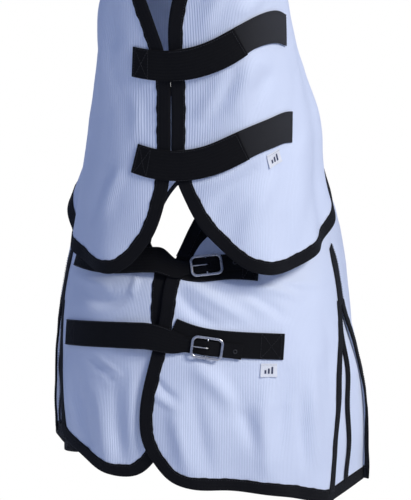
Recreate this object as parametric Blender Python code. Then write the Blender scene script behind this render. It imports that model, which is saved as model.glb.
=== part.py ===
"""Horse fly sheet: body sheet with chest straps and shoulder gussets, and its own neck cover.

Frame: metres, +Z up. The horse faces -Y and its left side is +X. The origin is at the withers,
on the inner face of the spine tape. Everything soft is laid out on two charts, the form of the
body and the form of the neck. A chart point is (s, t): s runs from the chest or throat centre
line round the left side (minus: the right side) to the spine or crest, and t from the upper
edge (0) to the hem (1). Heights are measured outwards from the form.
"""
from math import cos, pi, radians, sin

import bpy
import numpy as np

# ---------------------------------------------------------------- driving dimensions (m)
SHEET_LENGTH = 1.88         # centre of the chest to the tail edge, the size the rug is sold by
SHEET_WIDTH = 0.65          # across the barrel
SHEET_DROP = 0.865          # withers down to the hem
FABRIC = 0.0015             # knitted mesh fabric
TAPE = 0.0012               # binding and seam tape
WEBBING = 0.0015            # strap webbing
BINDING_WIDTH = 0.024       # how far a binding reaches in over the fabric
SLACK = 0.0010              # air between a binding and the fabric that it wraps
LAYER_GAP = 0.0015          # air between layers sewn on one another
LAP_LIFT = 0.0075           # how far the left front edge stands proud where it laps the right
CHEST_STRAP_WIDTH = 0.050
BILLET_WIDTH = 0.028
NECK_STRAP_WIDTH = 0.058
SURCINGLE_WIDTH = 0.045
SPINE_TAPE_WIDTH = 0.060
BUCKLE_LENGTH = 0.062       # outside, along the strap
BUCKLE_WIDTH = 0.042        # outside, across the strap
BUCKLE_BAR = 0.0036         # thickness of the frame's section
CORNER_RADIUS = 0.009       # of the buckle frame, on its centre line
BUCKLE_PIVOT = 0.0030       # diameter of the centre bar
PRONG_THICKNESS = 0.0020
PRONG_CLEARANCE = 0.0003    # prong eye to bar
LABEL_SIZE = (0.034, 0.026)
TAIL_FLAP_LENGTH = 0.36
TAIL_FLAP_WIDTH = 0.26
TAIL_SEAM = (0, 0.012, -0.008)  # from the end of the spine line to the top of the flap

BLACK = (0.012, 0.012, 0.016)
WHITE = (0.62, 0.68, 0.84)
LABEL_WHITE = (0.75, 0.76, 0.80)
STEEL = (0.62, 0.62, 0.64)

# ---------------------------------------------------------------- the two forms
# The pattern is drawn for the nominal size and graded by the three sizes above.
NOMINAL = (0.65, 1.88, 0.865)
GRADE = np.array([SHEET_WIDTH / NOMINAL[0], SHEET_LENGTH / NOMINAL[1], SHEET_DROP / NOMINAL[2]])

# Each line is s, then the form's points from the upper edge down to the hem.
BODY_ROWS = (0, 0.25, 0.55, 0.8, 1)
BODY_FORM = (
    (0.00, (0.000, -0.465, -0.340), (0.000, -0.500, -0.42), (0.000, -0.515, -0.53),
     (0.000, -0.505, -0.67), (0.000, -0.475, -0.81)),
    (0.12, (0.075, -0.430, -0.270), (0.105, -0.480, -0.38), (0.120, -0.497, -0.52),
     (0.121, -0.490, -0.67), (0.122, -0.460, -0.82)),
    (0.25, (0.115, -0.340, -0.175), (0.190, -0.400, -0.33), (0.225, -0.425, -0.51),
     (0.230, -0.420, -0.68), (0.232, -0.400, -0.835)),
    (0.38, (0.125, -0.230, -0.090), (0.225, -0.285, -0.26), (0.283, -0.310, -0.49),
     (0.291, -0.310, -0.68), (0.292, -0.290, -0.845)),
    (0.52, (0.090, -0.100, -0.025), (0.228, -0.150, -0.19), (0.300, -0.180, -0.46),
     (0.310, -0.180, -0.68), (0.312, -0.160, -0.855)),
    (0.60, (0.038, -0.045, -0.006), (0.217, -0.080, -0.155), (0.302, -0.100, -0.440),
     (0.312, -0.100, -0.680), (0.315, -0.085, -0.858)),
    (0.68, (0.000, 0.000, 0.000), (0.205, -0.010, -0.13), (0.302, -0.020, -0.43),
     (0.313, -0.020, -0.67), (0.317, -0.010, -0.86)),
    (0.78, (0.000, 0.100, -0.012), (0.205, 0.100, -0.130), (0.305, 0.090, -0.420),
     (0.316, 0.090, -0.665), (0.320, 0.095, -0.863)),
    (0.95, (0.000, 0.270, -0.045), (0.205, 0.265, -0.14), (0.308, 0.260, -0.41),
     (0.318, 0.260, -0.66), (0.322, 0.260, -0.865)),
    (1.30, (0.000, 0.620, -0.060), (0.205, 0.615, -0.14), (0.305, 0.610, -0.39),
     (0.315, 0.610, -0.65), (0.320, 0.610, -0.865)),
    (1.60, (0.000, 0.930, -0.050), (0.190, 0.920, -0.13), (0.285, 0.910, -0.38),
     (0.295, 0.910, -0.65), (0.300, 0.900, -0.865)),
    (1.80, (0.000, 1.150, -0.110), (0.170, 1.135, -0.18), (0.262, 1.110, -0.40),
     (0.268, 1.100, -0.65), (0.268, 1.080, -0.865)),
    (1.88, (0.000, 1.230, -0.150), (0.160, 1.210, -0.22), (0.250, 1.185, -0.42),
     (0.253, 1.170, -0.65), (0.250, 1.140, -0.865)),
)
NECK_ROWS = (0, 0.35, 0.7, 1)
NECK_FORM = (
    (0.00, (0.010, -0.900, 0.38), (0.028, -0.760, 0.11), (0.028, -0.625, -0.15),
     (0.000, -0.552, -0.40)),
    (0.10, (0.080, -0.870, 0.39), (0.110, -0.730, 0.12), (0.128, -0.600, -0.14),
     (0.125, -0.538, -0.40)),
    (0.22, (0.112, -0.780, 0.43), (0.153, -0.610, 0.16), (0.197, -0.480, -0.11),
     (0.219, -0.456, -0.38)),
    (0.34, (0.105, -0.690, 0.49), (0.157, -0.470, 0.21), (0.210, -0.325, -0.07),
     (0.264, -0.325, -0.33)),
    (0.46, (0.070, -0.630, 0.55), (0.119, -0.340, 0.28), (0.167, -0.160, 0.01),
     (0.240, -0.140, -0.17)),
    (0.51, (0.038, -0.615, 0.575), (0.086, -0.300, 0.315), (0.112, -0.100, 0.070),
     (0.155, -0.020, -0.045)),
    (0.56, (0.000, -0.600, 0.59), (0.018, -0.260, 0.34), (0.018, -0.050, 0.10),
     (0.000, 0.080, 0.05)),
)

# Outlines on the charts, as (s, t) points. The horse's two sides hang a little differently.
FRONT_EDGE = {
    +1: ((-0.045, 0.14), (-0.058, 0.30), (-0.060, 0.42), (-0.075, 0.60), (-0.092, 0.72),
         (-0.101, 0.82), (-0.090, 0.90), (-0.066, 0.95)),
    -1: ((0.060, 0.17), (0.060, 0.30), (0.058, 0.45), (0.050, 0.60), (0.048, 0.74),
         (0.053, 0.84), (0.068, 0.91), (0.088, 0.945)),
}
FRONT_HEM = {
    +1: ((-0.066, 0.95), (-0.040, 0.984), (0.010, 1.003), (0.090, 1.006), (0.180, 1.010),
         (0.250, 1.022), (0.305, 1.026)),
    -1: ((0.088, 0.945), (0.115, 0.966), (0.145, 0.965), (0.190, 0.945), (0.250, 0.908),
         (0.290, 0.885), (0.325, 0.862)),
}
NECKLINE = {
    +1: ((-0.045, 0.14), (-0.030, 0.02), (-0.010, -0.10), (0.015, -0.155), (0.060, -0.12),
         (0.130, -0.04), (0.220, 0.0), (0.390, 0.0)),
    -1: ((0.060, 0.17), (0.080, 0.180), (0.102, 0.165), (0.125, 0.12), (0.155, 0.05),
         (0.200, 0.0), (0.280, 0.0), (0.390, 0.0)),
}
GUSSET_APEX = (0.390, 0.50)
GUSSET_FRONT = {
    +1: (GUSSET_APEX, (0.368, 0.62), (0.352, 0.75), (0.335, 0.88), (0.305, 1.026)),
    -1: (GUSSET_APEX, (0.372, 0.60), (0.358, 0.70), (0.344, 0.79), (0.325, 0.862)),
}
GUSSET_REAR = {
    +1: (GUSSET_APEX, (0.412, 0.62), (0.430, 0.75), (0.440, 0.88), (0.445, 0.985)),
    -1: (GUSSET_APEX, (0.412, 0.60), (0.426, 0.70), (0.434, 0.79), (0.438, 0.872)),
}
REAR_HEM = {
    +1: ((0.445, 0.985), (0.600, 1.0), (1.20, 1.0), (1.70, 1.0), (1.88, 1.0)),
    -1: ((0.438, 0.872), (0.520, 0.903), (0.640, 0.952), (0.800, 0.990), (1.20, 1.0),
         (1.70, 1.0), (1.88, 1.0)),
}
SPINE_LINE = ((0.390, 0.0), (0.520, 0.0), (0.600, 0.003), (0.680, 0.010), (0.780, 0.012),
              (1.00, 0.010), (1.40, 0.009), (1.88, 0.009))
TAIL_EDGE = ((1.88, 0.009), (1.88, 0.5), (1.88, 1.0))
FLARE_REACH = 0.17          # chart distance over which the rear panel's flare dies out
FLARE = {+1: 0.034, -1: 0.003}   # how far the rear panel's front edge stands off the form

THROAT_EDGE = {
    +1: ((0.075, 0.0), (0.024, 0.13), (-0.014, 0.29), (-0.034, 0.385), (-0.0395, 0.45),
         (-0.0375, 0.56), (-0.0365, 0.70), (-0.034, 0.76), (-0.018, 0.835), (0.008, 0.90),
         (0.040, 0.945)),
    -1: ((0.112, 0.0), (0.100, 0.18), (0.080, 0.32), (0.064, 0.395), (0.051, 0.47),
         (0.0435, 0.54), (0.0415, 0.62), (0.0415, 0.70), (0.0417, 0.79), (0.047, 0.856),
         (0.063, 0.925), (0.090, 0.972)),
}
LOBE_EDGE = {
    +1: ((0.040, 0.945), (0.075, 0.981), (0.120, 0.998), (0.180, 0.995), (0.250, 0.986),
         (0.330, 0.980), (0.450, 1.0), (0.545, 1.0)),
    -1: ((0.090, 0.972), (0.120, 0.995), (0.160, 1.0), (0.220, 0.994), (0.270, 0.992),
         (0.340, 0.992), (0.450, 1.0), (0.545, 1.0)),
}
POLL_EDGE = {
    +1: ((0.075, 0.0), (0.240, 0.0), (0.400, 0.0), (0.545, 0.0)),
    -1: ((0.130, 0.0), (0.260, 0.0), (0.400, 0.0), (0.545, 0.0)),
}
CREST_LINE = ((0.545, 0.0), (0.545, 0.5), (0.545, 1.0))

# Strap centre lines on the charts.
UPPER_RIGHT = ((-0.330, 0.365), (-0.250, 0.325), (-0.180, 0.290), (-0.125, 0.246),
               (-0.080, 0.198))
UPPER_BUCKLE = (0.028, 0.165)
UPPER_LEFT = ((-0.026, 0.165), (0.010, 0.170), (0.060, 0.200), (0.100, 0.245),
              (0.135, 0.285))
LOWER_RIGHT = ((-0.318, 0.583), (-0.225, 0.562), (-0.147, 0.549), (-0.090, 0.536))
LOWER_BUCKLE = (0.024, 0.566)
LOWER_LEFT = ((-0.040, 0.500), (0.010, 0.535), (0.063, 0.560), (0.105, 0.575),
              (0.173, 0.591))
NECK_UPPER = ((-0.081, 0.524), (-0.055, 0.529), (-0.030, 0.526),
              (0.000, 0.512), (0.035, 0.490), (0.085, 0.466), (0.135, 0.462),
              (0.174, 0.470), (0.212, 0.489))
NECK_LOWER = ((-0.080, 0.745), (-0.055, 0.755), (-0.030, 0.756),
              (0.006, 0.744), (0.044, 0.722), (0.088, 0.705), (0.125, 0.699),
              (0.161, 0.697), (0.183, 0.702))
NECK_FOLD_S = -0.055        # where a neck tab leaves the right panel
NECK_TAB_END_S = 0.060
NECK_LOOP_START_S = -0.030
LABEL_BODY_AT = (0.141, 0.664)
LABEL_NECK_AT = (0.129, 0.757)
SURCINGLES = {"front": (0.78, 0.84), "rear": (1.22, 0.84)}


# ---------------------------------------------------------------- charts
def spline_weights(knots, at):
    """Natural cubic spline through values at the knots, as weights of those values."""
    knots = np.asarray(knots, float)
    count = len(knots)
    step = np.diff(knots)
    left = np.eye(count)
    right = np.zeros((count, count))
    for i in range(1, count - 1):
        left[i, i - 1:i + 2] = step[i - 1], 2 * (step[i - 1] + step[i]), step[i]
        right[i, i - 1:i + 2] = 6 / step[i - 1], -6 / step[i - 1] - 6 / step[i], 6 / step[i]
    bend = np.linalg.solve(left, right)
    at = np.atleast_1d(np.asarray(at, float))
    weights = np.zeros((len(at), count))
    for row, value in enumerate(at):
        inside = min(max(value, knots[0]), knots[-1])
        k = min(max(int(np.searchsorted(knots, inside)) - 1, 0), count - 2)
        u = (knots[k + 1] - inside) / step[k]
        v = 1 - u
        square = step[k] ** 2 / 6
        weights[row] = (u ** 3 - u) * square * bend[k] + (v ** 3 - v) * square * bend[k + 1]
        weights[row, k] += u
        weights[row, k + 1] += v
        if value != inside:
            slope = -(3 * u * u - 1) * step[k] / 6 * bend[k]
            slope = slope + (3 * v * v - 1) * step[k] / 6 * bend[k + 1]
            slope[k] -= 1 / step[k]
            slope[k + 1] += 1 / step[k]
            weights[row] += (value - inside) * slope
    return weights


def spline(points, at):
    """Points on the smooth line through points, at shares 0 to 1 of its length."""
    points = np.array(points, float)
    run = np.concatenate([[0], np.cumsum(np.linalg.norm(np.diff(points, axis=0), axis=1))])
    return spline_weights(run / run[-1], at) @ points


class Chart:
    """A smooth form that chart points (s, t) lie on."""

    def __init__(self, form, rows, rounded_from=None):
        left = [(line[0], [np.array(p) for p in line[1:]]) for line in form]
        turned = [(-s, [p * (-1, 1, 1) for p in points]) for s, points in left[:0:-1]]
        self.s = [s for s, _ in turned + left]
        self.rows = rows
        self.net = np.array([points for _, points in turned + left]) * GRADE
        if rounded_from is not None:
            self.round_the_ridge(rounded_from)

    def round_the_ridge(self, first):
        """Adds a row past the upper edge, mirrored where the two sides meet on the spine, so
        that the back is round; further forward it runs straight on."""
        beyond = 2 * self.net[:, 0] - self.net[:, 1]
        met = np.abs(self.s) >= first
        beyond[met] = self.net[met, 1] * (-1, 1, 1)
        self.net = np.concatenate([beyond[:, None], self.net], axis=1)
        self.rows = (-self.rows[1], *self.rows)

    def at(self, st):
        """Points of the form, for an array of chart points with any leading shape."""
        st = np.asarray(st, float)
        flat = st.reshape(-1, 2)
        along = spline_weights(self.s, flat[:, 0])
        down = spline_weights(self.rows, flat[:, 1])
        return np.einsum("ki,kj,ijc->kc", along, down, self.net).reshape(st.shape[:-1] + (3,))

    def slopes(self, st):
        small = 1e-4
        st = np.asarray(st, float)
        across = (self.at(st + (small, 0)) - self.at(st - (small, 0))) / (2 * small)
        down = (self.at(st + (0, small)) - self.at(st - (0, small))) / (2 * small)
        return across, down

    def normals(self, st):
        across, down = self.slopes(st)
        out = np.cross(down, across)
        return out / np.linalg.norm(out, axis=-1, keepdims=True)

    def offset(self, st, step):
        """The chart point that lies a step in space (metres) away along the form."""
        st = np.array(st, float)
        target = self.at(st) + step
        for _ in range(4):
            across, down = self.slopes(st)
            miss = target - self.at(st)
            grid = np.stack([across, down], axis=-1)
            st = st + np.einsum("...ij,...j->...i", np.linalg.pinv(grid), miss)
        return st


body = Chart(BODY_FORM, BODY_ROWS, rounded_from=0.68)
neck = Chart(NECK_FORM, NECK_ROWS)


def smooth(x):
    x = np.clip(x, 0, 1)
    return x * x * (3 - 2 * x)


def body_lift(st, side):
    """Height of a body panel's inner face over the form: the left lap and the gusset flare."""
    s = np.asarray(st)[..., 0] * side
    t = np.asarray(st)[..., 1]
    lap = LAP_LIFT * (1 - smooth((s - 0.0) / 0.11)) if side > 0 else 0.0 * s
    behind = smooth((s - GUSSET_APEX[0]) / 0.02) * (1 - smooth((s - 0.43) / FLARE_REACH))
    return lap + FLARE[side] * behind * smooth((t - GUSSET_APEX[1]) / 0.32)


# ---------------------------------------------------------------- meshes
def material(name, colour, roughness=0.8, metallic=0.0):
    made = bpy.data.materials.new(name)
    made.use_nodes = True
    shader = made.node_tree.nodes["Principled BSDF"]
    shader.inputs["Base Color"].default_value = (*colour, 1)
    shader.inputs["Roughness"].default_value = roughness
    shader.inputs["Metallic"].default_value = metallic
    made.diffuse_color = (*colour, 1)
    return made


def add_solid(name, points, triangles, look):
    """One object of a closed mesh, its faces turned outwards."""
    points = np.asarray(points, float)
    keys = {}
    index = [keys.setdefault(tuple(np.round(p, 7)), len(keys)) for p in points]
    corners = np.array(list(keys))
    triangles = [tuple(index[i] for i in face) for face in triangles]
    triangles = [face for face in triangles if len(set(face)) == 3]
    faces = corners[np.array(triangles)]
    if np.einsum("ij,ij->i", faces[:, 0], np.cross(faces[:, 1], faces[:, 2])).sum() < 0:
        triangles = [face[::-1] for face in triangles]
    mesh = bpy.data.meshes.new(name)
    mesh.from_pydata(corners.tolist(), [], triangles)
    mesh.materials.append(look)
    made = bpy.data.objects.new(name, mesh)
    bpy.context.scene.collection.objects.link(made)
    return made


def shell(name, inner, outer, triangles, look):
    """A sheet with thickness: two like point lists joined by walls along the open edges."""
    count = len(inner)
    edges = {}
    for a, b, c in triangles:
        for edge in ((a, b), (b, c), (c, a)):
            edges[edge] = edges.get(edge, 0) + 1
    faces = list(triangles) + [(c + count, b + count, a + count) for a, b, c in triangles]
    for a, b in edges:
        if (b, a) not in edges:
            faces += [(b, a, a + count), (b, a + count, b + count)]
    return add_solid(name, np.vstack([inner, outer]), faces, look)


def grid_triangles(rows, columns, holes=(), turned=()):
    """Triangles of a grid of rows x columns points, leaving out the cells in holes. The
    cells in turned are split along their other diagonal."""
    found = []
    for i in range(rows - 1):
        for j in range(columns - 1):
            if (i, j) in holes:
                continue
            a = i * columns + j
            b = a + columns
            if (i, j) in turned:
                found += [(a, a + 1, b), (a + 1, b + 1, b)]
            else:
                found += [(a, a + 1, b + 1), (a, b + 1, b)]
    return found


def ribbon(name, points, normals, thickness, look, holes=(), turned=()):
    """A strip with thickness from a grid of points on its inner face."""
    rows, columns = points.shape[:2]
    inner = points.reshape(-1, 3)
    outer = (points + normals * thickness).reshape(-1, 3)
    return shell(name, inner, outer, grid_triangles(rows, columns, holes, turned), look)


def sweep(name, sections, look, closed=False, turned=lambda i: (), ends=None):
    """A tube through like sections (count x corners x 3), with flat ends unless closed.
    turned gives the sides of a segment that are split along their other diagonal, and ends
    the triangles that close a section that isn't convex."""
    sections = np.asarray(sections, float)
    count, corners = sections.shape[:2]
    faces = []
    for i in range(count if closed else count - 1):
        here = i * corners
        there = (i + 1) % count * corners
        for j in range(corners):
            k = (j + 1) % corners
            if j in turned(i):
                faces += [(here + j, here + k, there + j), (here + k, there + k, there + j)]
            else:
                faces += [(here + j, here + k, there + k), (here + j, there + k, there + j)]
    if not closed:
        last = (count - 1) * corners
        for a, b, c in ends or [(0, j, j + 1) for j in range(1, corners - 1)]:
            faces += [(c, b, a), (last + a, last + b, last + c)]
    return add_solid(name, sections.reshape(-1, 3), faces, look)


def coons(front, rear, top, hem, us, vs):
    """Chart grid inside four outline curves, each a function of 0 to 1."""
    u = np.asarray(us)[:, None, None]
    v = np.asarray(vs)[None, :, None]
    top_line = top(us)[:, None]
    hem_line = hem(us)[:, None]
    front_line = front(vs)[None]
    rear_line = rear(vs)[None]
    corners = (1 - u) * ((1 - v) * front_line[:, :1] + v * front_line[:, -1:])
    corners = corners + u * ((1 - v) * rear_line[:, :1] + v * rear_line[:, -1:])
    return (1 - v) * top_line + v * hem_line + (1 - u) * front_line + u * rear_line - corners


def curve(points):
    return lambda at: spline(points, at)


def mirrored(grid, side):
    return grid * (side, 1)


ALL, NONE = (0, 999), (0, 0)


def edge_binding(name, chart, edge, inner, heights, look, forward):
    """A folded tape over a fabric edge: edge and inner are like rows of chart points, the
    fabric's edge and where the tape ends on the fabric; heights are the fabric's inner face.
    In the segments from forward[0] up to forward[1] the fabric's diagonals run from this edge
    point to the next inner one, elsewhere the other way; the tape's sides follow them."""
    rim, far = chart.at(edge), chart.at(inner)
    rim_out, far_out = chart.normals(edge), chart.normals(inner)
    rim_h, far_h = (h[:, None] for h in heights)
    away = (rim + rim_out * rim_h) - (far + far_out * far_h)
    away = away / np.linalg.norm(away, axis=1, keepdims=True)
    low, high = -SLACK - TAPE, FABRIC + SLACK + TAPE
    near_low, near_high = -SLACK, FABRIC + SLACK

    def at_rim(depth, height):
        return rim + rim_out * (rim_h + height) + away * depth

    def at_far(height):
        return far + far_out * (far_h + height)

    ring = [at_far(high), at_rim(SLACK + TAPE, high), at_rim(SLACK + TAPE, low), at_far(low),
            at_far(near_low), at_rim(SLACK, near_low), at_rim(SLACK, near_high),
            at_far(near_high)]
    rim_to_far, far_to_rim = (0, 4), (2, 6)
    ends = [(0, 1, 6), (0, 6, 7), (1, 2, 5), (1, 5, 6), (2, 3, 4), (2, 4, 5)]
    return sweep(name, np.stack(ring, axis=1), look, ends=ends,
                 turned=lambda i: rim_to_far if forward[0] <= i < forward[1] else far_to_rim)


# ---------------------------------------------------------------- body sheet
def panel_grids(side):
    """Front and rear chart grids of a body panel in its own side's measure. They share the
    points above the gusset's apex."""
    edge_row = BINDING_WIDTH / SHEET_DROP
    gap_row = edge_row + 0.012
    apex_row = 0.50
    upper = np.linspace(0.11, apex_row, 6)
    lower = np.linspace(apex_row, 1 - 0.11, 6)[1:]
    rows = np.concatenate([[0, edge_row, gap_row], upper, lower,
                           [1 - gap_row, 1 - edge_row, 1]])

    def seam(line):
        def at(v):
            v = np.asarray(v)
            top = np.array(NECKLINE[side][-1])
            above = top + (np.array(GUSSET_APEX) - top) * (v / apex_row)[:, None]
            below = spline(line, np.clip((v - apex_row) / (1 - apex_row), 0, 1))
            return np.where(v[:, None] <= apex_row, above, below)
        return at

    front_width = 0.45
    rear_length = 1.49
    edge = BINDING_WIDTH / front_width
    front_columns = np.concatenate([[0, edge, edge + 0.02], np.linspace(0.17, 0.86, 7),
                                    [1 - edge, 1]])
    edge = BINDING_WIDTH / rear_length
    rear_columns = np.concatenate([[0, edge], np.linspace(0.05, 0.95, 16), [1 - edge, 1]])
    front = coons(curve(FRONT_EDGE[side]), seam(GUSSET_FRONT[side]), curve(NECKLINE[side]),
                  curve(FRONT_HEM[side]), front_columns, rows)
    rear = coons(seam(GUSSET_REAR[side]), curve(TAIL_EDGE), curve(SPINE_LINE),
                 curve(REAR_HEM[side]), rear_columns, rows)
    apex = int(np.argmin(np.abs(rows - apex_row)))
    return front, rear, apex


def heights_of(st, side):
    return body_lift(mirrored(st, side), side)


def body_side(side, looks):
    word = "left" if side > 0 else "right"
    front, rear, apex = panel_grids(side)
    inner, outer, faces, seen = [], [], [], {}
    for grid in (front, rear):
        st = mirrored(grid, side)
        lift = body_lift(st, side)[..., None]
        points, normals = body.at(st), body.normals(st)
        low, high = points + normals * lift, points + normals * (lift + FABRIC)
        index = []
        for key, a, b in zip(np.round(grid.reshape(-1, 2), 6), low.reshape(-1, 3),
                             high.reshape(-1, 3)):
            if tuple(key) not in seen:
                seen[tuple(key)] = len(inner)
                inner.append(a)
                outer.append(b)
            index.append(seen[tuple(key)])
        corner = {(0, grid.shape[1] - 2)} if grid is front else ()
        cells = grid_triangles(*grid.shape[:2], turned=corner)
        faces += [tuple(index[i] for i in face) for face in cells]
    shell(f"body_panel_{word}", inner, outer, faces, looks["fabric"])

    def bind(name, edge, inside, forward):
        edge, inside = np.array(edge), np.array(inside)
        heights = heights_of(edge, side), heights_of(inside, side)
        edge_binding(name, body, mirrored(edge, side), mirrored(inside, side), heights,
                     looks["tape"], forward)

    last = front.shape[1] - 1
    bind(f"front_binding_{word}", [*front[0], *front[1:, last]],
         [*front[1, :last], front[1, last - 1], *front[1:, last - 1]], (0, last + 1))
    neck_end = int(np.sum(rear[:, 0, 0] < 0.61))
    bind(f"neckline_binding_{word}", [*front[2:, 0], *rear[1:neck_end, 0]],
         [*front[2:, 1], *rear[1:neck_end, 1]], ALL)
    bind(f"gusset_front_tape_{word}", front[-1, apex + 1:last - 1],
         front[-2, apex + 1:last - 1], NONE)
    bind(f"gusset_rear_tape_{word}", rear[0, apex + 1:last - 1], rear[1, apex + 1:last - 1],
         ALL)
    bind(f"rear_binding_{word}", [*rear[:, last], *rear[-1, last - 1:2:-1]],
         [*rear[:-1, last - 1], rear[-2, last - 1], *rear[-2, last - 1:2:-1]],
         (len(rear), 99))
    gusset(side, word, looks)


def gusset(side, word, looks):
    """The folded insert behind the panel's notch, its middle seam tape, hem and apex patch."""
    tuck = 0.016
    below = SLACK + TAPE + 2 * LAYER_GAP + FABRIC
    down = np.linspace(0.10, 0.965, 7)
    front = spline(GUSSET_FRONT[side], down)
    rear = spline(GUSSET_REAR[side], down)
    fold = 0.35
    columns = [front - (tuck, 0), front + (0.004, 0), (front + rear) / 2, rear - (0.004, 0),
               rear + (tuck, 0)]
    grid = np.stack(columns, axis=1)
    lift = heights_of(grid, side)
    lift[:, 3] = lift[:, 4]
    lift[:, 2] = lift[:, 1] + (lift[:, 3] - lift[:, 1]) * fold
    lift -= below
    st = mirrored(grid, side)
    points, normals = body.at(st), body.normals(st)
    panel = points + normals * lift[..., None]
    ribbon(f"gusset_{word}", panel, normals, FABRIC, looks["fabric"])
    seam = panel[:, 2]
    across = panel[:, 3] - panel[:, 1]
    across /= np.linalg.norm(across, axis=1, keepdims=True)
    out = normals[:, 2]
    run = np.stack([seam - across * 0.007, seam + across * 0.007], axis=1)
    outs = np.stack([out, out], axis=1)
    ribbon(f"gusset_seam_tape_{word}", run[:-1] + outs[:-1] * (FABRIC + 0.004), outs[:-1],
           TAPE, looks["tape"])
    drop = panel[-1] - panel[-2]
    drop /= np.linalg.norm(drop, axis=1, keepdims=True)
    hem = np.stack([panel[-1] + drop * 0.0010, panel[-1] + drop * (BINDING_WIDTH - 0.006)],
                   axis=0)
    ribbon(f"gusset_hem_{word}", hem, np.stack([normals[-1]] * 2), FABRIC, looks["tape"])
    s, t = GUSSET_APEX
    patch = np.array([[(s + ds, t - 0.008 - dt) for ds in (-0.022, 0, 0.022)]
                      for dt in (0.125, 0.085, 0.045, 0)])
    st = mirrored(patch, side)
    normals = body.normals(st)
    height = heights_of(patch, side)[..., None] + FABRIC + LAYER_GAP
    ribbon(f"gusset_patch_{word}", body.at(st) + normals * height, normals, TAPE,
           looks["tape"])


def spine_tape(looks):
    """Tape over the meeting of the two body panels, from the withers to the tail."""
    along = np.linspace(0.685, 1.875, 22)
    half = SPINE_TAPE_WIDTH / 2
    rows = []
    for s in along:
        row = []
        for side in (-1, 1):
            st = np.array([s * side, 0.0])
            for reach in ((half, half / 2) if side < 0 else (0.0, half / 2, half)):
                moved = body.offset(st, np.array([reach * side, 0, 0])) if reach else st
                row.append((body.at(moved), body.normals(moved)))
        rows.append(row)
    points = np.array([[p for p, _ in row] for row in rows])
    normals = np.array([[n for _, n in row] for row in rows])
    normals[:, 2] = normals[:, 1] + normals[:, 3]
    normals[:, 2] /= np.linalg.norm(normals[:, 2], axis=1, keepdims=True)
    height = FABRIC + LAYER_GAP
    ribbon("spine_tape", points + normals * height, normals, TAPE, looks["tape"])


# ---------------------------------------------------------------- straps
def frame_at(chart, st, towards):
    """Origin and axes at a chart point: along the strap, across it (up the form) and out."""
    out = chart.normals(st)
    run = chart.at(towards) - chart.at(st)
    run = run - out * np.dot(run, out)
    run = run / np.linalg.norm(run)
    return chart.at(st), run, np.cross(out, run), out


def laid_strap(chart, line, at, half_widths, heights):
    """Rows of points across a strap laid on the form, with their normals."""
    line = np.array(line)
    centre = spline(line, at)
    ahead = spline(line, np.clip(np.asarray(at) + 0.01, 0, 1))
    behind = spline(line, np.clip(np.asarray(at) - 0.01, 0, 1))
    points, normals = [], []
    for st, a, b, across_at, height in zip(centre, behind, ahead, half_widths, heights):
        run = chart.at(b) - chart.at(a)
        out = chart.normals(st)
        across = np.cross(out, run)
        across /= np.linalg.norm(across)
        row = chart.offset(np.repeat(st[None], len(across_at), 0),
                           np.asarray(across_at)[:, None] * across)
        normals.append(chart.normals(row))
        points.append(chart.at(row) + normals[-1] * height)
    return np.array(points), np.array(normals)


OVER_BINDING = FABRIC + SLACK + TAPE + LAYER_GAP    # height of what is sewn over a binding
SLOT_HALF = PRONG_THICKNESS / 2 + 0.0009
TAPE_TOP = OVER_BINDING + WEBBING                   # outer face of a left chest tape
BAR_HEIGHT = 0.0044         # centre bar over the tape under the buckle
FRAME_HEIGHT = 0.0042       # middle of the frame over the tape
CHAPE_RADIUS = BUCKLE_PIVOT / 2 + 0.0005 + TAPE / 2


def chest_tape_left(name, line, looks):
    at = np.linspace(0, 1, 9)
    half = CHEST_STRAP_WIDTH / 2
    centre = spline(line, at)
    heights = body_lift(centre, 1) + OVER_BINDING
    points, normals = laid_strap(body, line, at, [(-half, 0, half)] * len(at), heights)
    ribbon(name, points, normals, WEBBING, looks["webbing"])


def buckle_frame(centre):
    """The place and axes of a buckle: it lies level on the outer face of its tape."""
    reach = np.array((0.032, 0.013))
    st = np.array(centre) + reach * np.array([[-1], [0], [1]])
    ends = body.at(st) + body.normals(st) * (body_lift(st, 1) + TAPE_TOP)[:, None]
    run = ends[2] - ends[0]
    run = run / np.linalg.norm(run)
    out = body.normals(st[1])
    out = out - run * np.dot(out, run)
    out = out / np.linalg.norm(out)
    return ends[1], run, np.cross(out, run), out


def tape_height(centre, frame, u):
    """Height of the tape's outer face over the buckle's plane, u along the strap."""
    base, run, _, out = frame
    st = body.offset(np.array(centre), run * u)
    face = body.at(st) + body.normals(st) * (body_lift(st, 1) + TAPE_TOP)
    return np.dot(face - base, out)


def placed(frame, u, v, w):
    base, run, across, out = frame
    return base + run * u + across * v + out * w


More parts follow.
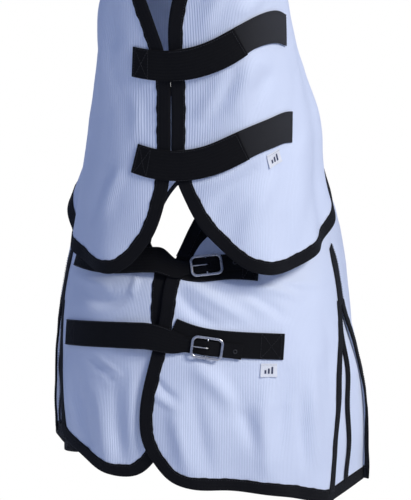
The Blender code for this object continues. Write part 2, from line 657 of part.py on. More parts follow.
def chest_strap_right(name, line, centre, looks):
    """Strap sewn on the right panel, its billet passed under, over and under the buckle."""
    half = CHEST_STRAP_WIDTH / 2
    narrow = BILLET_WIDTH / 2
    at = np.linspace(0, 1, 9)
    rise = smooth((at - 0.62) / 0.38)
    low = FABRIC + SLACK + TAPE + LAYER_GAP
    high = LAP_LIFT + TAPE_TOP + LAYER_GAP
    heights = low + (high - low) * rise
    widths = [(-half, -SLOT_HALF, SLOT_HALF, half)] * len(at)
    points, normals = laid_strap(body, line, at, widths, heights)
    frame = buckle_frame(centre)
    out = frame[3]
    hump = [(-0.031, 0.0002), (-0.025, 0.0005), (-0.016, 0.0034), (-0.008, 0.0068),
            (0.000, 0.0082), (0.006, 0.0079), (0.014, 0.0052), (0.020, 0.0028),
            (0.025, 0.0010), (0.031, 0.0004)]
    lying = LAYER_GAP + 0.0004
    hump = [(u, tape_height(centre, frame, u) + lying) for u in (-0.050, -0.040)] + hump
    hump += [(u, tape_height(centre, frame, u) + lying) for u in (0.042, 0.055, 0.068)]
    taper = 1 - smooth((np.array([u for u, _ in hump]) + 0.072) / 0.034)
    rows = []
    for (u, w), share in zip(hump, taper):
        reach = narrow + (half - narrow) * share
        rows.append([placed(frame, u, v, w) for v in (-reach, -SLOT_HALF, SLOT_HALF, reach)])
    points = np.concatenate([points, np.array(rows)])
    normals = np.concatenate([normals, np.broadcast_to(out, (len(rows), 4, 3))])
    first = len(at) + 3
    slot = {(i, 1) for i in range(first, first + 4)}
    ribbon(name, points, normals, WEBBING, looks["webbing"], slot)


def rounded_rectangle(length, width, radius, steps=3):
    """Corner points of a rounded rectangle about the origin, with their outward directions."""
    found = []
    for corner in range(4):
        middle = corner * pi / 2 + pi / 4
        cx = np.sign(cos(middle)) * (length / 2 - radius)
        cy = np.sign(sin(middle)) * (width / 2 - radius)
        for k in range(steps + 1):
            a = middle - pi / 4 + k * pi / 2 / steps
            found.append(((cx + radius * cos(a), cy + radius * sin(a)), (cos(a), sin(a))))
    return found


def metal_ring(name, frame, length, width, radius, bar, height, look, depth=None):
    """Closed frame of rounded bar; length and width are outside sizes. Its section is bar
    wide in the frame's plane and depth thick, or as thick as it is wide."""
    depth = depth or bar
    sections = []
    for (u, v), (du, dv) in rounded_rectangle(length - bar, width - bar, radius):
        ring = []
        for k in range(8):
            a = (k + 0.5) * pi / 4
            reach = cos(a) * bar / 2
            ring.append(placed(frame, u + du * reach, v + dv * reach,
                               height + sin(a) * depth / 2))
        sections.append(ring)
    return sweep(name, sections, look, closed=True)


def rod(name, frame, path, thickness, look, corners=6):
    """Round rod along (u, v, w) points of a frame, for paths that keep one v."""
    points = [placed(frame, *p) for p in path]
    across = frame[2]
    sections = []
    for i, p in enumerate(points):
        run = points[min(i + 1, len(points) - 1)] - points[max(i - 1, 0)]
        run = run / np.linalg.norm(run)
        side = np.cross(across, run)
        section = []
        for k in range(corners):
            a = 2 * pi * (k + 0.5) / corners
            section.append(p + (across * cos(a) + side * sin(a)) * thickness / 2)
        sections.append(section)
    return sweep(name, sections, look)


def join(made, other):
    """Boolean union of two objects into the first."""
    union = made.modifiers.new("union", "BOOLEAN")
    union.operation = "UNION"
    union.solver = "EXACT"
    union.object = other
    graph = bpy.context.evaluated_depsgraph_get()
    mesh = bpy.data.meshes.new_from_object(made.evaluated_get(graph))
    made.modifiers.clear()
    made.data = mesh
    bpy.data.objects.remove(other)
    return made


def cross_bar(name, frame, u, height, thickness, reach, look, corners=8):
    """Straight bar across a frame at u."""
    sections = []
    for v in (-reach, reach):
        sections.append([placed(frame, u + cos(2 * pi * (k + 0.5) / corners) * thickness / 2, v,
                                height + sin(2 * pi * (k + 0.5) / corners) * thickness / 2)
                         for k in range(corners)])
    return sweep(name, sections, look)


def loop_strip(name, frame, path, width, thickness, look, slot=None):
    """Folded strip along a (u, w) path; slot is the (first, last) segment of a middle slit."""
    path = np.array(path)
    run = np.gradient(path, axis=0)
    run /= np.linalg.norm(run, axis=1, keepdims=True)
    side = np.stack([-run[:, 1], run[:, 0]], axis=1)
    reach = width / 2
    columns = (-reach, -SLOT_HALF, SLOT_HALF, reach) if slot else (-reach, reach)
    points, normals = [], []
    for (u, w), (nu, nw) in zip(path, side):
        points.append([placed(frame, u - nu * thickness / 2, v, w - nw * thickness / 2)
                       for v in columns])
        normals.append([frame[1] * nu + frame[3] * nw] * len(columns))
    holes = {(i, 1) for i in range(slot[0], slot[1])} if slot else ()
    ribbon(name, np.array(points), np.array(normals), thickness, look, holes)


def folded_path(top_leg, low_leg, radius, height, steps=5):
    """Path of a strip folded round a bar at u = 0: along top_leg, round its -u side, back."""
    bend = [(radius * cos(a), height + radius * sin(a))
            for a in np.linspace(pi / 2, 3 * pi / 2, steps + 1)]
    return [*top_leg, *bend, *low_leg]


def buckle(word, centre, looks):
    """Frame with its centre bar, prong and chape; returns the prong's axis."""
    frame = buckle_frame(centre)
    made = metal_ring(f"buckle_{word}", frame, BUCKLE_LENGTH, BUCKLE_WIDTH, CORNER_RADIUS,
                      BUCKLE_BAR, FRAME_HEIGHT, looks["steel"])
    bar = cross_bar("bar", frame, 0, BAR_HEIGHT, BUCKLE_PIVOT,
                    BUCKLE_WIDTH / 2 - BUCKLE_BAR / 2, looks["steel"])
    join(made, bar)
    eye = BUCKLE_PIVOT / 2 + PRONG_CLEARANCE + PRONG_THICKNESS / 2
    rest = FRAME_HEIGHT + BUCKLE_BAR / 2 + 0.0004 + PRONG_THICKNESS / 2
    turns = np.radians(np.linspace(-160, 90, 9))
    path = [(eye * cos(a), 0, BAR_HEIGHT + eye * sin(a)) for a in turns]
    tip = -(BUCKLE_LENGTH - BUCKLE_BAR) / 2
    path += [(tip * 0.35, 0, rest), (tip * 0.75, 0, rest), (tip, 0, rest)]
    rod(f"prong_{word}", frame, path, PRONG_THICKNESS, looks["steel"])
    top = BAR_HEIGHT + CHAPE_RADIUS
    low = BAR_HEIGHT - CHAPE_RADIUS
    path = folded_path([(0.016, 0.0031), (0.011, 0.0046), (0.006, top - 0.0008)],
                       [(0.006, low), (0.011, low - 0.0002), (0.016, low - 0.0004)],
                       CHAPE_RADIUS, BAR_HEIGHT)
    loop_strip(f"chape_{word}", frame, path, BILLET_WIDTH - 0.002, TAPE, looks["webbing"],
               slot=(2, 9))


def label(name, chart, centre, tilt, lift, looks):
    st = np.array(centre)
    base, run, across, out = frame_at(chart, st, st + (0.01, 0.0))
    a = radians(tilt)
    length, width = LABEL_SIZE
    u_axis = run * cos(a) + across * sin(a)
    v_axis = np.cross(out, u_axis)
    steps = [u_axis * (i - 1) * length / 2 + v_axis * (j - 0.5) * width
             for i in range(3) for j in range(2)]
    grid = chart.offset(np.repeat(st[None], 6, 0), np.array(steps)).reshape(3, 2, 2)
    normals = chart.normals(grid)
    height = lift + FABRIC + LAYER_GAP
    ribbon(name, chart.at(grid) + normals * height, normals, FABRIC / 2, looks["label"])


# ---------------------------------------------------------------- neck cover
def neck_side(side, looks):
    word = "left" if side > 0 else "right"
    width = 0.50
    edge = BINDING_WIDTH / width
    columns = np.concatenate([[0, edge, edge + 0.02], np.linspace(0.18, 0.93, 7), [1]])
    length = 1.0
    edge = BINDING_WIDTH / length
    rows = np.concatenate([[0, edge, edge + 0.012], np.linspace(0.10, 0.92, 13),
                           [1 - edge, 1]])
    grid = coons(curve(THROAT_EDGE[side]), curve(CREST_LINE), curve(POLL_EDGE[side]),
                 curve(LOBE_EDGE[side]), columns, rows)
    st = mirrored(grid, side)
    last = len(rows) - 1
    ribbon(f"neck_panel_{word}", neck.at(st), neck.normals(st), FABRIC, looks["fabric"],
           turned={(0, last - 1)})
    poll = len(columns) - 2
    edge = np.array([*grid[poll:0:-1, 0], *grid[0], *grid[1:-1, last]])
    inside = np.array([*grid[poll:0:-1, 1], grid[1, 1], *grid[1, 1:last], grid[1, last - 1],
                       *grid[1:-1, last - 1]])
    zero = np.zeros(len(edge))
    edge_binding(f"neck_binding_{word}", neck, mirrored(edge, side), mirrored(inside, side),
                 (zero, zero), looks["tape"], (poll, poll + last + 1))


def crest_tape(looks):
    """Roof-shaped tape over the crest, joining the two neck panels."""
    rows_at = np.linspace(0.002, 0.985, 15)
    points, normals = [], []
    for t in rows_at:
        row, outs = [], []
        for side, reach in ((-1, 0.036), (-1, 0.018), (1, 0.0), (1, 0.018), (1, 0.036)):
            st = np.array([(0.56 - reach) * side, t])
            row.append(neck.at(st))
            outs.append(neck.normals(st))
        outs[2] = outs[1] + outs[3]
        outs[2] = outs[2] / np.linalg.norm(outs[2])
        points.append(row)
        normals.append(outs)
    points, normals = np.array(points), np.array(normals)
    height = FABRIC + 2 * LAYER_GAP
    ribbon("crest_tape", points + normals * height, normals, TAPE, looks["tape"])


def neck_strap(word, line, looks):
    """Strap end on the right panel, hook tab over the closure and loop strip on the left."""
    half = NECK_STRAP_WIDTH / 2
    across = (-half, 0, half)
    dense = np.linspace(0, 1, 801)
    s_along = spline(line, dense)[:, 0]

    def share(s):
        return float(np.interp(s, s_along, dense))

    clear = 0.0013
    at = np.linspace(0, share(NECK_FOLD_S - clear), 4)
    points, normals = laid_strap(neck, line, at, [across] * len(at),
                                 [OVER_BINDING] * len(at))
    ribbon(f"neck_strap_{word}", points, normals, WEBBING, looks["webbing"])
    at = np.linspace(share(NECK_FOLD_S + clear), share(NECK_TAB_END_S), 8)
    rise = smooth((at - at[0]) / (at[2] - at[0]))
    heights = OVER_BINDING + (WEBBING + LAYER_GAP) * rise
    points, normals = laid_strap(neck, line, at, [across] * len(at), heights)
    ribbon(f"neck_tab_{word}", points, normals, WEBBING, looks["webbing"])
    at = np.linspace(share(NECK_LOOP_START_S), 1, 12)
    points, normals = laid_strap(neck, line, at, [across] * len(at),
                                 [OVER_BINDING] * len(at))
    ribbon(f"neck_loop_strip_{word}", points, normals, WEBBING, looks["webbing"])


def withers_tie(side, looks):
    """Short tape that joins the neck cover's base to the body's neckline."""
    word = "left" if side > 0 else "right"
    low = np.array((0.560 * side, 0.12))
    high = np.array((0.500 * side, 0.93))
    start = body.at(low) + body.normals(low) * (OVER_BINDING + 0.001)
    end = neck.at(high) - neck.normals(high) * (LAYER_GAP + WEBBING + 0.008)
    run = (end - start) * 0.8
    across = np.cross(run, body.normals(low))
    across /= np.linalg.norm(across)
    out = np.cross(across, run)
    out /= np.linalg.norm(out)
    half = 0.020
    points = np.array([[start + run * k / 2 - across * half, start + run * k / 2 + across * half]
                       for k in range(3)])
    ribbon(f"withers_tie_{word}", points, np.broadcast_to(out, points.shape), WEBBING,
           looks["webbing"])


# ---------------------------------------------------------------- tail flap and surcingles
def tail_flap(looks):
    """Flap over the tail, hung from a seam across the end of the spine tape."""
    dock = body.at((1.88, 0.0))
    seam = dock + np.array(TAIL_SEAM)
    bow = 0.40
    inset = 0.16
    width_steps = (-1, inset - 1, -0.42, 0, 0.42, 1 - inset, 1)
    drop_steps = (0, 0.2, 0.4, 0.6, 0.78, 0.94, 1)
    points, normals = [], []
    for drop in drop_steps:
        half = TAIL_FLAP_WIDTH / 2 * (0.80 + 0.20 * drop)
        row, outs = [], []
        for step in width_steps:
            a = step * half / bow
            row.append(seam + (bow * sin(a), bow * (cos(a) - 1) * (1 - 0.2 * drop),
                               -drop * TAIL_FLAP_LENGTH))
            outs.append((sin(a), cos(a), 0.0))
        points.append(row)
        normals.append(outs)
    points, normals = np.array(points), np.array(normals)
    ribbon("tail_flap", points, normals, FABRIC, looks["fabric"])
    rim = np.array([*points[:, 0], *points[-1, 1:-1], *points[::-1, -1]])
    inner = np.array([*points[:-1, 1], points[-2, 1], *points[-2, 1:-1], points[-2, -2],
                      *points[-2::-1, -2]])
    outs = np.array([*normals[:, 0], *normals[-1, 1:-1], *normals[::-1, -1]])
    band = np.stack([rim, inner], axis=1)
    outs = np.stack([outs, outs], axis=1)
    ribbon("tail_flap_binding", band + outs * (FABRIC + LAYER_GAP), outs, TAPE,
           looks["tape"])


def surcingle(word, place, looks):
    """Belly strap: sewn inside the right panel, hooked to a slot plate inside the left one."""
    s, t = place
    inside = LAYER_GAP + WEBBING
    half = SURCINGLE_WIDTH / 2
    top = body.at((s, t - 0.15))
    low = body.at((s, t))
    down = (low - top) / np.linalg.norm(low - top)
    out = body.normals((s, t))
    inward = -(out - down * np.dot(out, down))
    inward /= np.linalg.norm(inward)
    plate_bar = 0.0035
    radius = plate_bar / 2 + 0.0010 + WEBBING / 2
    base = low + inward * 0.004
    frame = (base, -down, np.cross(inward, -down), inward)
    path = folded_path([(0.060, radius * 2), (0.020, radius * 2)],
                       [(0.020, 0.0), (0.060, 0.0)], radius, radius)
    loop_strip(f"surcingle_anchor_{word}", frame, path, SURCINGLE_WIDTH - 0.004, WEBBING,
               looks["webbing"])
    plate_length, plate_width = 0.026, 0.056
    plate = (placed(frame, -plate_length / 2 + plate_bar / 2, 0, 0), *frame[1:])
    metal_ring(f"slot_plate_{word}", plate, plate_length, plate_width, 0.005, plate_bar,
               radius, looks["steel"])
    hook_at = placed(plate, -0.033, 0, 0)
    hook_frame = (hook_at, *frame[1:])
    hook = metal_ring(f"surcingle_hook_{word}", hook_frame, 0.024, plate_width, 0.005,
                      plate_bar, radius, looks["steel"])
    rim = 0.024 / 2 - plate_bar / 2
    lower_bar = 0.033 - plate_length / 2 + plate_bar / 2
    reach = plate_bar + 0.0008
    bend = [(lower_bar + reach * cos(a), 0, radius + reach * sin(a))
            for a in np.radians(np.linspace(170, -60, 7))]
    stem = [(rim, 0, radius), (rim + 0.002, 0, radius + 0.0005), *bend]
    join(hook, rod("hook_stem", hook_frame, stem, plate_bar * 0.95, looks["steel"], 8))
    start = placed(hook_frame, -0.012 + plate_bar / 2, 0, radius)
    far = body.at((-s, t)) - body.normals((-s, t)) * (inside + 0.004)
    far_top = body.at((-s, t - 0.12)) - body.normals((-s, t - 0.12)) * (inside + 0.002)
    sag = np.array([0, 0, -0.045])
    straight = start + np.array([-0.13, 0, -0.060])
    turn = radius
    run = (straight - start) / np.linalg.norm(straight - start)
    upward = np.cross(frame[2], run)
    upward *= np.sign(upward[2])
    fold = [start + upward * turn + run * 0.045, start + upward * turn + run * 0.012]
    fold += [start + upward * turn * cos(a) - run * turn * sin(a)
             for a in np.linspace(0, pi, 6)]
    belly = [start - upward * turn + run * 0.012, start - upward * turn + run * 0.150]
    middle = (belly[-1] + far) / 2 + sag
    near = belly[-1] + (middle - belly[-1]) * 0.5 + sag * 0.35
    away = middle + (far - middle) * 0.5 + sag * 0.45
    belly += list(spline([belly[-1], near, middle, away, far], np.linspace(0, 1, 11)[1:]))
    line = np.array(fold + belly + [far_top])
    along = np.gradient(line, axis=0)
    along /= np.linalg.norm(along, axis=1, keepdims=True)
    across = np.array([0.0, 1.0, 0.0])
    outs = np.cross(along, across)
    outs /= np.linalg.norm(outs, axis=1, keepdims=True)
    points = np.stack([line - across * half * 0.9 - outs * WEBBING / 2,
                       line + across * half * 0.9 - outs * WEBBING / 2], axis=1)
    ribbon(f"surcingle_{word}", points, np.stack([outs, outs], axis=1), WEBBING,
           looks["webbing"])
    slide = (start - upward * turn + run * 0.085, frame[2], upward, run)
    metal_ring(f"surcingle_slider_{word}", slide, SURCINGLE_WIDTH + 0.012, 0.0090, 0.0020,
               0.0024, 0.0, looks["plastic"], depth=0.018)


def build():
    for old in list(bpy.data.objects):
        bpy.data.objects.remove(old, do_unlink=True)
    looks = {
        "fabric": material("knit_mesh_fabric", WHITE, 0.75),
        "tape": material("binding_tape", BLACK, 0.7),
        "webbing": material("strap_webbing", BLACK, 0.6),
        "label": material("woven_label", LABEL_WHITE, 0.6),
        "steel": material("plated_steel", STEEL, 0.28, 1.0),
        "plastic": material("black_plastic", BLACK, 0.4),
    }
    for side in (1, -1):
        body_side(side, looks)
        neck_side(side, looks)
        withers_tie(side, looks)
    spine_tape(looks)
    crest_tape(looks)
    chest_strap_right("upper_chest_strap", UPPER_RIGHT, UPPER_BUCKLE, looks)
    chest_strap_right("lower_chest_strap", LOWER_RIGHT, LOWER_BUCKLE, looks)
    chest_tape_left("upper_chest_tape", UPPER_LEFT, looks)
    chest_tape_left("lower_chest_tape", LOWER_LEFT, looks)
    buckle("upper", UPPER_BUCKLE, looks)
    buckle("lower", LOWER_BUCKLE, looks)
    label("size_label_body", body, LABEL_BODY_AT, -2, 0.0, looks)
    label("size_label_neck", neck, LABEL_NECK_AT, 14, 0.0, looks)
    neck_strap("upper", NECK_UPPER, looks)
    neck_strap("lower", NECK_LOWER, looks)
    tail_flap(looks)
    for word, place in SURCINGLES.items():
        surcingle(word, place, looks)


build()
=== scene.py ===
"""Looks of the horse fly sheet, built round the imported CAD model.

Cloth is laid on the same two forms as the CAD model: the body's and the neck's. A chart point
is (s, t): s runs from the chest or throat line round the left side (minus: the right side) to
the spine or crest, and t from the upper edge (0) to the hem (1). Lengths are in metres.
"""
from math import cos, pi, radians, sin

import bpy
import numpy as np
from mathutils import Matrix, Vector


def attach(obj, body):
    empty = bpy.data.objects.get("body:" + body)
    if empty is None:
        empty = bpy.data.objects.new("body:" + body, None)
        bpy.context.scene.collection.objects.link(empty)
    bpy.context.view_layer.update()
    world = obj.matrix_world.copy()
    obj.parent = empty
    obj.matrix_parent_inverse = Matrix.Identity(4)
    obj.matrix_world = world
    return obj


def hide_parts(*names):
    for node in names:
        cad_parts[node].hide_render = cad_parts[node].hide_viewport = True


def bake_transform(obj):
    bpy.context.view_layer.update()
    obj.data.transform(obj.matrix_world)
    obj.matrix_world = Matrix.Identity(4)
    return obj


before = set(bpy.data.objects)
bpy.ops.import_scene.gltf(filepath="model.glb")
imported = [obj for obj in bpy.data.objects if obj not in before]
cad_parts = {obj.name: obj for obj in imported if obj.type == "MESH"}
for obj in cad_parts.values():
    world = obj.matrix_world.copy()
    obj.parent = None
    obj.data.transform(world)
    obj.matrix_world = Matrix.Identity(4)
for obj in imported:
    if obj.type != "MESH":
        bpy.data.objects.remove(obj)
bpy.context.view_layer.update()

# ---------------------------------------------------------------- sizes of the CAD model (m)
FABRIC = 0.0015
TAPE = 0.0012
WEBBING = 0.0015
BINDING_WIDTH = 0.024
SLACK = 0.0010
LAYER_GAP = 0.0015
LAP_LIFT = 0.0075
CHEST_STRAP_WIDTH = 0.050
BILLET_WIDTH = 0.028
NECK_STRAP_WIDTH = 0.058
SURCINGLE_WIDTH = 0.045
SPINE_TAPE_WIDTH = 0.060
BUCKLE_LENGTH = 0.062
BUCKLE_WIDTH = 0.042
BUCKLE_BAR = 0.0036
CORNER_RADIUS = 0.009
BUCKLE_PIVOT = 0.0030
PRONG_THICKNESS = 0.0020
PRONG_CLEARANCE = 0.0003
LABEL_SIZE = (0.034, 0.026)
TAIL_FLAP_LENGTH = 0.36
TAIL_FLAP_WIDTH = 0.26
TAIL_SEAM = (0, 0.012, -0.008)
SLIDER_AT = 0.085
OVER_BINDING = FABRIC + SLACK + TAPE + LAYER_GAP
TAPE_TOP = OVER_BINDING + WEBBING
BAR_HEIGHT = 0.0044
FRAME_HEIGHT = 0.0042
CHAPE_RADIUS = BUCKLE_PIVOT / 2 + 0.0005 + TAPE / 2
SLOT_HALF = PRONG_THICKNESS / 2 + 0.0009

# ---------------------------------------------------------------- sizes of the looks (m)
CLOTH = 0.0010
EDGE_REACH = 0.00205
EDGE_THREAD = 0.0022
THREAD = 0.0003
STEEL_BAR = 0.0035
HOOK_LENGTH = 0.024
HOOK_DROP = 0.033
PLATE_SIZE = (0.026, 0.056)

# ---------------------------------------------------------------- the two forms
# A row of a form is s, then the x, y, z of its points at the rows' t, all in thousandths.
BODY_ROWS = (0, 0.25, 0.55, 0.8, 1)
BODY_FORM = (
    (0, 0, -465, -340, 0, -500, -420, 0, -515, -530, 0, -505, -670, 0, -475, -810),
    (120, 75, -430, -270, 105, -480, -380, 120, -497, -520, 121, -490, -670, 122, -460, -820),
    (250, 115, -340, -175, 190, -400, -330, 225, -425, -510, 230, -420, -680, 232, -400, -835),
    (380, 125, -230, -90, 225, -285, -260, 283, -310, -490, 291, -310, -680, 292, -290, -845),
    (520, 90, -100, -25, 228, -150, -190, 300, -180, -460, 310, -180, -680, 312, -160, -855),
    (600, 38, -45, -6, 217, -80, -155, 302, -100, -440, 312, -100, -680, 315, -85, -858),
    (680, 0, 0, 0, 205, -10, -130, 302, -20, -430, 313, -20, -670, 317, -10, -860),
    (780, 0, 100, -12, 205, 100, -130, 305, 90, -420, 316, 90, -665, 320, 95, -863),
    (950, 0, 270, -45, 205, 265, -140, 308, 260, -410, 318, 260, -660, 322, 260, -865),
    (1300, 0, 620, -60, 205, 615, -140, 305, 610, -390, 315, 610, -650, 320, 610, -865),
    (1600, 0, 930, -50, 190, 920, -130, 285, 910, -380, 295, 910, -650, 300, 900, -865),
    (1800, 0, 1150, -110, 170, 1135, -180, 262, 1110, -400, 268, 1100, -650, 268, 1080, -865),
    (1880, 0, 1230, -150, 160, 1210, -220, 250, 1185, -420, 253, 1170, -650, 250, 1140, -865),
)
NECK_ROWS = (0, 0.35, 0.7, 1)
NECK_FORM = (
    (0, 10, -900, 380, 28, -760, 110, 28, -625, -150, 0, -552, -400),
    (100, 80, -870, 390, 110, -730, 120, 128, -600, -140, 125, -538, -400),
    (220, 112, -780, 430, 153, -610, 160, 197, -480, -110, 219, -456, -380),
    (340, 105, -690, 490, 157, -470, 210, 210, -325, -70, 264, -325, -330),
    (460, 70, -630, 550, 119, -340, 280, 167, -160, 10, 240, -140, -170),
    (510, 38, -615, 575, 86, -300, 315, 112, -100, 70, 155, -20, -45),
    (560, 0, -600, 590, 18, -260, 340, 18, -50, 100, 0, 80, 50),
)


def chart_line(*numbers):
    """Chart points, from their s and t in thousandths."""
    return np.reshape(numbers, (-1, 2)) / 1000


FRONT_EDGE = {
    +1: chart_line(-45, 140, -58, 300, -60, 420, -75, 600, -92, 720, -101, 820, -90, 900, -66,
        950),
    -1: chart_line(60, 170, 60, 300, 58, 450, 50, 600, 48, 740, 53, 840, 68, 910, 88, 945),
}
FRONT_HEM = {
    +1: chart_line(-66, 950, -40, 984, 10, 1003, 90, 1006, 180, 1010, 250, 1022, 305, 1026),
    -1: chart_line(88, 945, 115, 966, 145, 965, 190, 945, 250, 908, 290, 885, 325, 862),
}
NECKLINE = {
    +1: chart_line(-45, 140, -30, 20, -10, -100, 15, -155, 60, -120, 130, -40, 220, 0, 390, 0),
    -1: chart_line(60, 170, 80, 180, 102, 165, 125, 120, 155, 50, 200, 0, 280, 0, 390, 0),
}
GUSSET_APEX = (0.390, 0.50)
GUSSET_FRONT = {
    +1: chart_line(390, 500, 368, 620, 352, 750, 335, 880, 305, 1026),
    -1: chart_line(390, 500, 372, 600, 358, 700, 344, 790, 325, 862),
}
GUSSET_REAR = {
    +1: chart_line(390, 500, 412, 620, 430, 750, 440, 880, 445, 985),
    -1: chart_line(390, 500, 412, 600, 426, 700, 434, 790, 438, 872),
}
REAR_HEM = {
    +1: chart_line(445, 985, 600, 1000, 1200, 1000, 1700, 1000, 1880, 1000),
    -1: chart_line(438, 872, 520, 903, 640, 952, 800, 990, 1200, 1000, 1700, 1000, 1880, 1000),
}
SPINE_LINE = chart_line(390, 0, 520, 0, 600, 3, 680, 10, 780, 12, 1000, 10, 1400, 9, 1880, 9)
TAIL_EDGE = chart_line(1880, 9, 1880, 500, 1880, 1000)
FLARE_REACH = 0.17
FLARE = {+1: 0.034, -1: 0.003}
THROAT_EDGE = {
    +1: chart_line(75, 0, 24, 130, -14, 290, -34, 385, -39.5, 450, -38.2, 560, -37.6, 700, -35,
        760,
        -18, 835, 8, 900, 40, 945),
    -1: chart_line(112, 0, 100, 180, 80, 320, 64, 395, 51, 470, 42.2, 540, 40.3, 620, 40.3, 700,
        40.5,
        790, 47, 856, 63, 925, 90, 972),
}
LOBE_EDGE = {
    +1: chart_line(40, 945, 75, 981, 120, 998, 180, 995, 250, 986, 330, 980, 450, 1000, 545,
        1000),
    -1: chart_line(90, 972, 120, 995, 160, 1000, 220, 994, 270, 992, 340, 992, 450, 1000, 545,
        1000),
}
POLL_EDGE = {
    +1: chart_line(75, 0, 240, 0, 400, 0, 545, 0),
    -1: chart_line(130, 0, 260, 0, 400, 0, 545, 0),
}
CREST_LINE = chart_line(545, 0, 545, 500, 545, 1000)

UPPER_RIGHT = chart_line(-330, 365, -250, 325, -180, 290, -125, 246, -80, 198)
UPPER_BUCKLE = (0.028, 0.165)
UPPER_LEFT = chart_line(-26, 165, 10, 170, 60, 200, 100, 245, 135, 285)
LOWER_RIGHT = chart_line(-318, 583, -225, 562, -147, 549, -90, 536)
LOWER_BUCKLE = (0.024, 0.566)
LOWER_LEFT = chart_line(-40, 500, 10, 535, 63, 560, 105, 575, 173, 591)
NECK_UPPER = chart_line(-81, 524, -55, 529, -30, 526, 0, 512, 35, 490, 85, 466, 135, 462, 174,
    470, 212, 489)
NECK_LOWER = chart_line(-80, 745, -55, 755, -30, 756, 6, 744, 44, 722, 88, 705, 125, 699, 161,
    697, 183, 702)
NECK_FOLD_S = -0.055
NECK_TAB_END_S = 0.060
NECK_LOOP_START_S = -0.030
LABEL_BODY_AT = (0.141, 0.664)
LABEL_NECK_AT = (0.129, 0.757)
SURCINGLES = {"front": (0.78, 0.84), "rear": (1.22, 0.84)}


# ---------------------------------------------------------------- splines and charts
def spline_weights(knots, at):
    """Natural cubic spline through values at the knots, as weights of those values."""
    knots = np.asarray(knots, float)
    count = len(knots)
    step = np.diff(knots)
    left = np.eye(count)
    right = np.zeros((count, count))
    for i in range(1, count - 1):
        left[i, i - 1:i + 2] = step[i - 1], 2 * (step[i - 1] + step[i]), step[i]
        right[i, i - 1:i + 2] = 6 / step[i - 1], -6 / step[i - 1] - 6 / step[i], 6 / step[i]
    bend = np.linalg.solve(left, right)
    at = np.atleast_1d(np.asarray(at, float))
    inside = np.clip(at, knots[0], knots[-1])
    k = np.clip(np.searchsorted(knots, inside) - 1, 0, count - 2)
    h = step[k][:, None]
    u = ((knots[k + 1] - inside) / step[k])[:, None]
    v = 1 - u
    weights = ((u ** 3 - u) * bend[k] + (v ** 3 - v) * bend[k + 1]) * h * h / 6
    slope = (-(3 * u * u - 1) * bend[k] + (3 * v * v - 1) * bend[k + 1]) * h / 6
    row = np.arange(len(at))
    weights[row, k] += u[:, 0]
    weights[row, k + 1] += v[:, 0]
    slope[row, k] -= 1 / step[k]
    slope[row, k + 1] += 1 / step[k]
    return weights + (at - inside)[:, None] * slope


def run_of(points):
    """Length along a line of points, from 0 at its start."""
    steps = np.linalg.norm(np.diff(points, axis=0), axis=1)
    return np.concatenate([[0], np.cumsum(steps)])


def spline(points, at):
    """Points on the smooth line through points, at shares 0 to 1 of its length."""
    points = np.array(points, float)
    run = run_of(points)
    return spline_weights(run / run[-1], at) @ points


def unit(vectors):
    return vectors / np.linalg.norm(vectors, axis=-1, keepdims=True)


def smooth(x):
    x = np.clip(x, 0, 1)
    return x * x * (3 - 2 * x)


def slopes(at, st, small):
    """How a surface's place changes with each of its two chart directions."""
    st = np.asarray(st, float)
    return [(at(st + step) - at(st - step)) / (2 * small) for step in np.eye(2) * small]


def moved(at, st, step, small):
    """The chart points that lie a step in space away along a surface."""
    st = np.array(st, float)
    target = at(st) + step
    for _ in range(4):
        grid = np.stack(slopes(at, st, small), axis=-1)
        st = st + np.einsum("...ij,...j->...i", np.linalg.pinv(grid), target - at(st))
    return st


class Chart:
    """A smooth form that chart points (s, t) lie on."""

    def __init__(self, form, rows, rounded_from=None):
        form = np.array(form) / 1000
        net = form[:, 1:].reshape(len(form), -1, 3)
        self.s = np.concatenate([-form[:0:-1, 0], form[:, 0]])
        self.rows = rows
        self.net = np.concatenate([net[:0:-1] * (-1, 1, 1), net])
        if rounded_from is not None:
            beyond = 2 * self.net[:, 0] - self.net[:, 1]
            met = np.abs(self.s) >= rounded_from
            beyond[met] = self.net[met, 1] * (-1, 1, 1)
            self.net = np.concatenate([beyond[:, None], self.net], axis=1)
            self.rows = (-rows[1], *rows)

    def at(self, st):
        st = np.asarray(st, float)
        flat = st.reshape(-1, 2)
        along = spline_weights(self.s, flat[:, 0])
        down = spline_weights(self.rows, flat[:, 1])
        points = np.einsum("ki,kj,ijc->kc", along, down, self.net, optimize=True)
        return points.reshape(st.shape[:-1] + (3,))

    def normals(self, st):
        across, down = slopes(self.at, st, 1e-4)
        return unit(np.cross(down, across))

    def offset(self, st, step):
        return moved(self.at, st, step, 1e-4)


body = Chart(BODY_FORM, BODY_ROWS, rounded_from=0.68)
neck = Chart(NECK_FORM, NECK_ROWS)


def body_lift(st):
    """Height of a body panel's inner face over the form: the left lap and the gusset flare."""
    s, t = np.asarray(st)[..., 0], np.asarray(st)[..., 1]
    lap = np.where(s > -0.2, LAP_LIFT * (1 - smooth(s / 0.11)), 0)
    own = np.abs(s)
    behind = smooth((own - GUSSET_APEX[0]) / 0.02) * (1 - smooth((own - 0.43) / FLARE_REACH))
    reach = np.where(s > 0, FLARE[+1], FLARE[-1])
    return lap, reach * behind * smooth((t - GUSSET_APEX[1]) / 0.32)


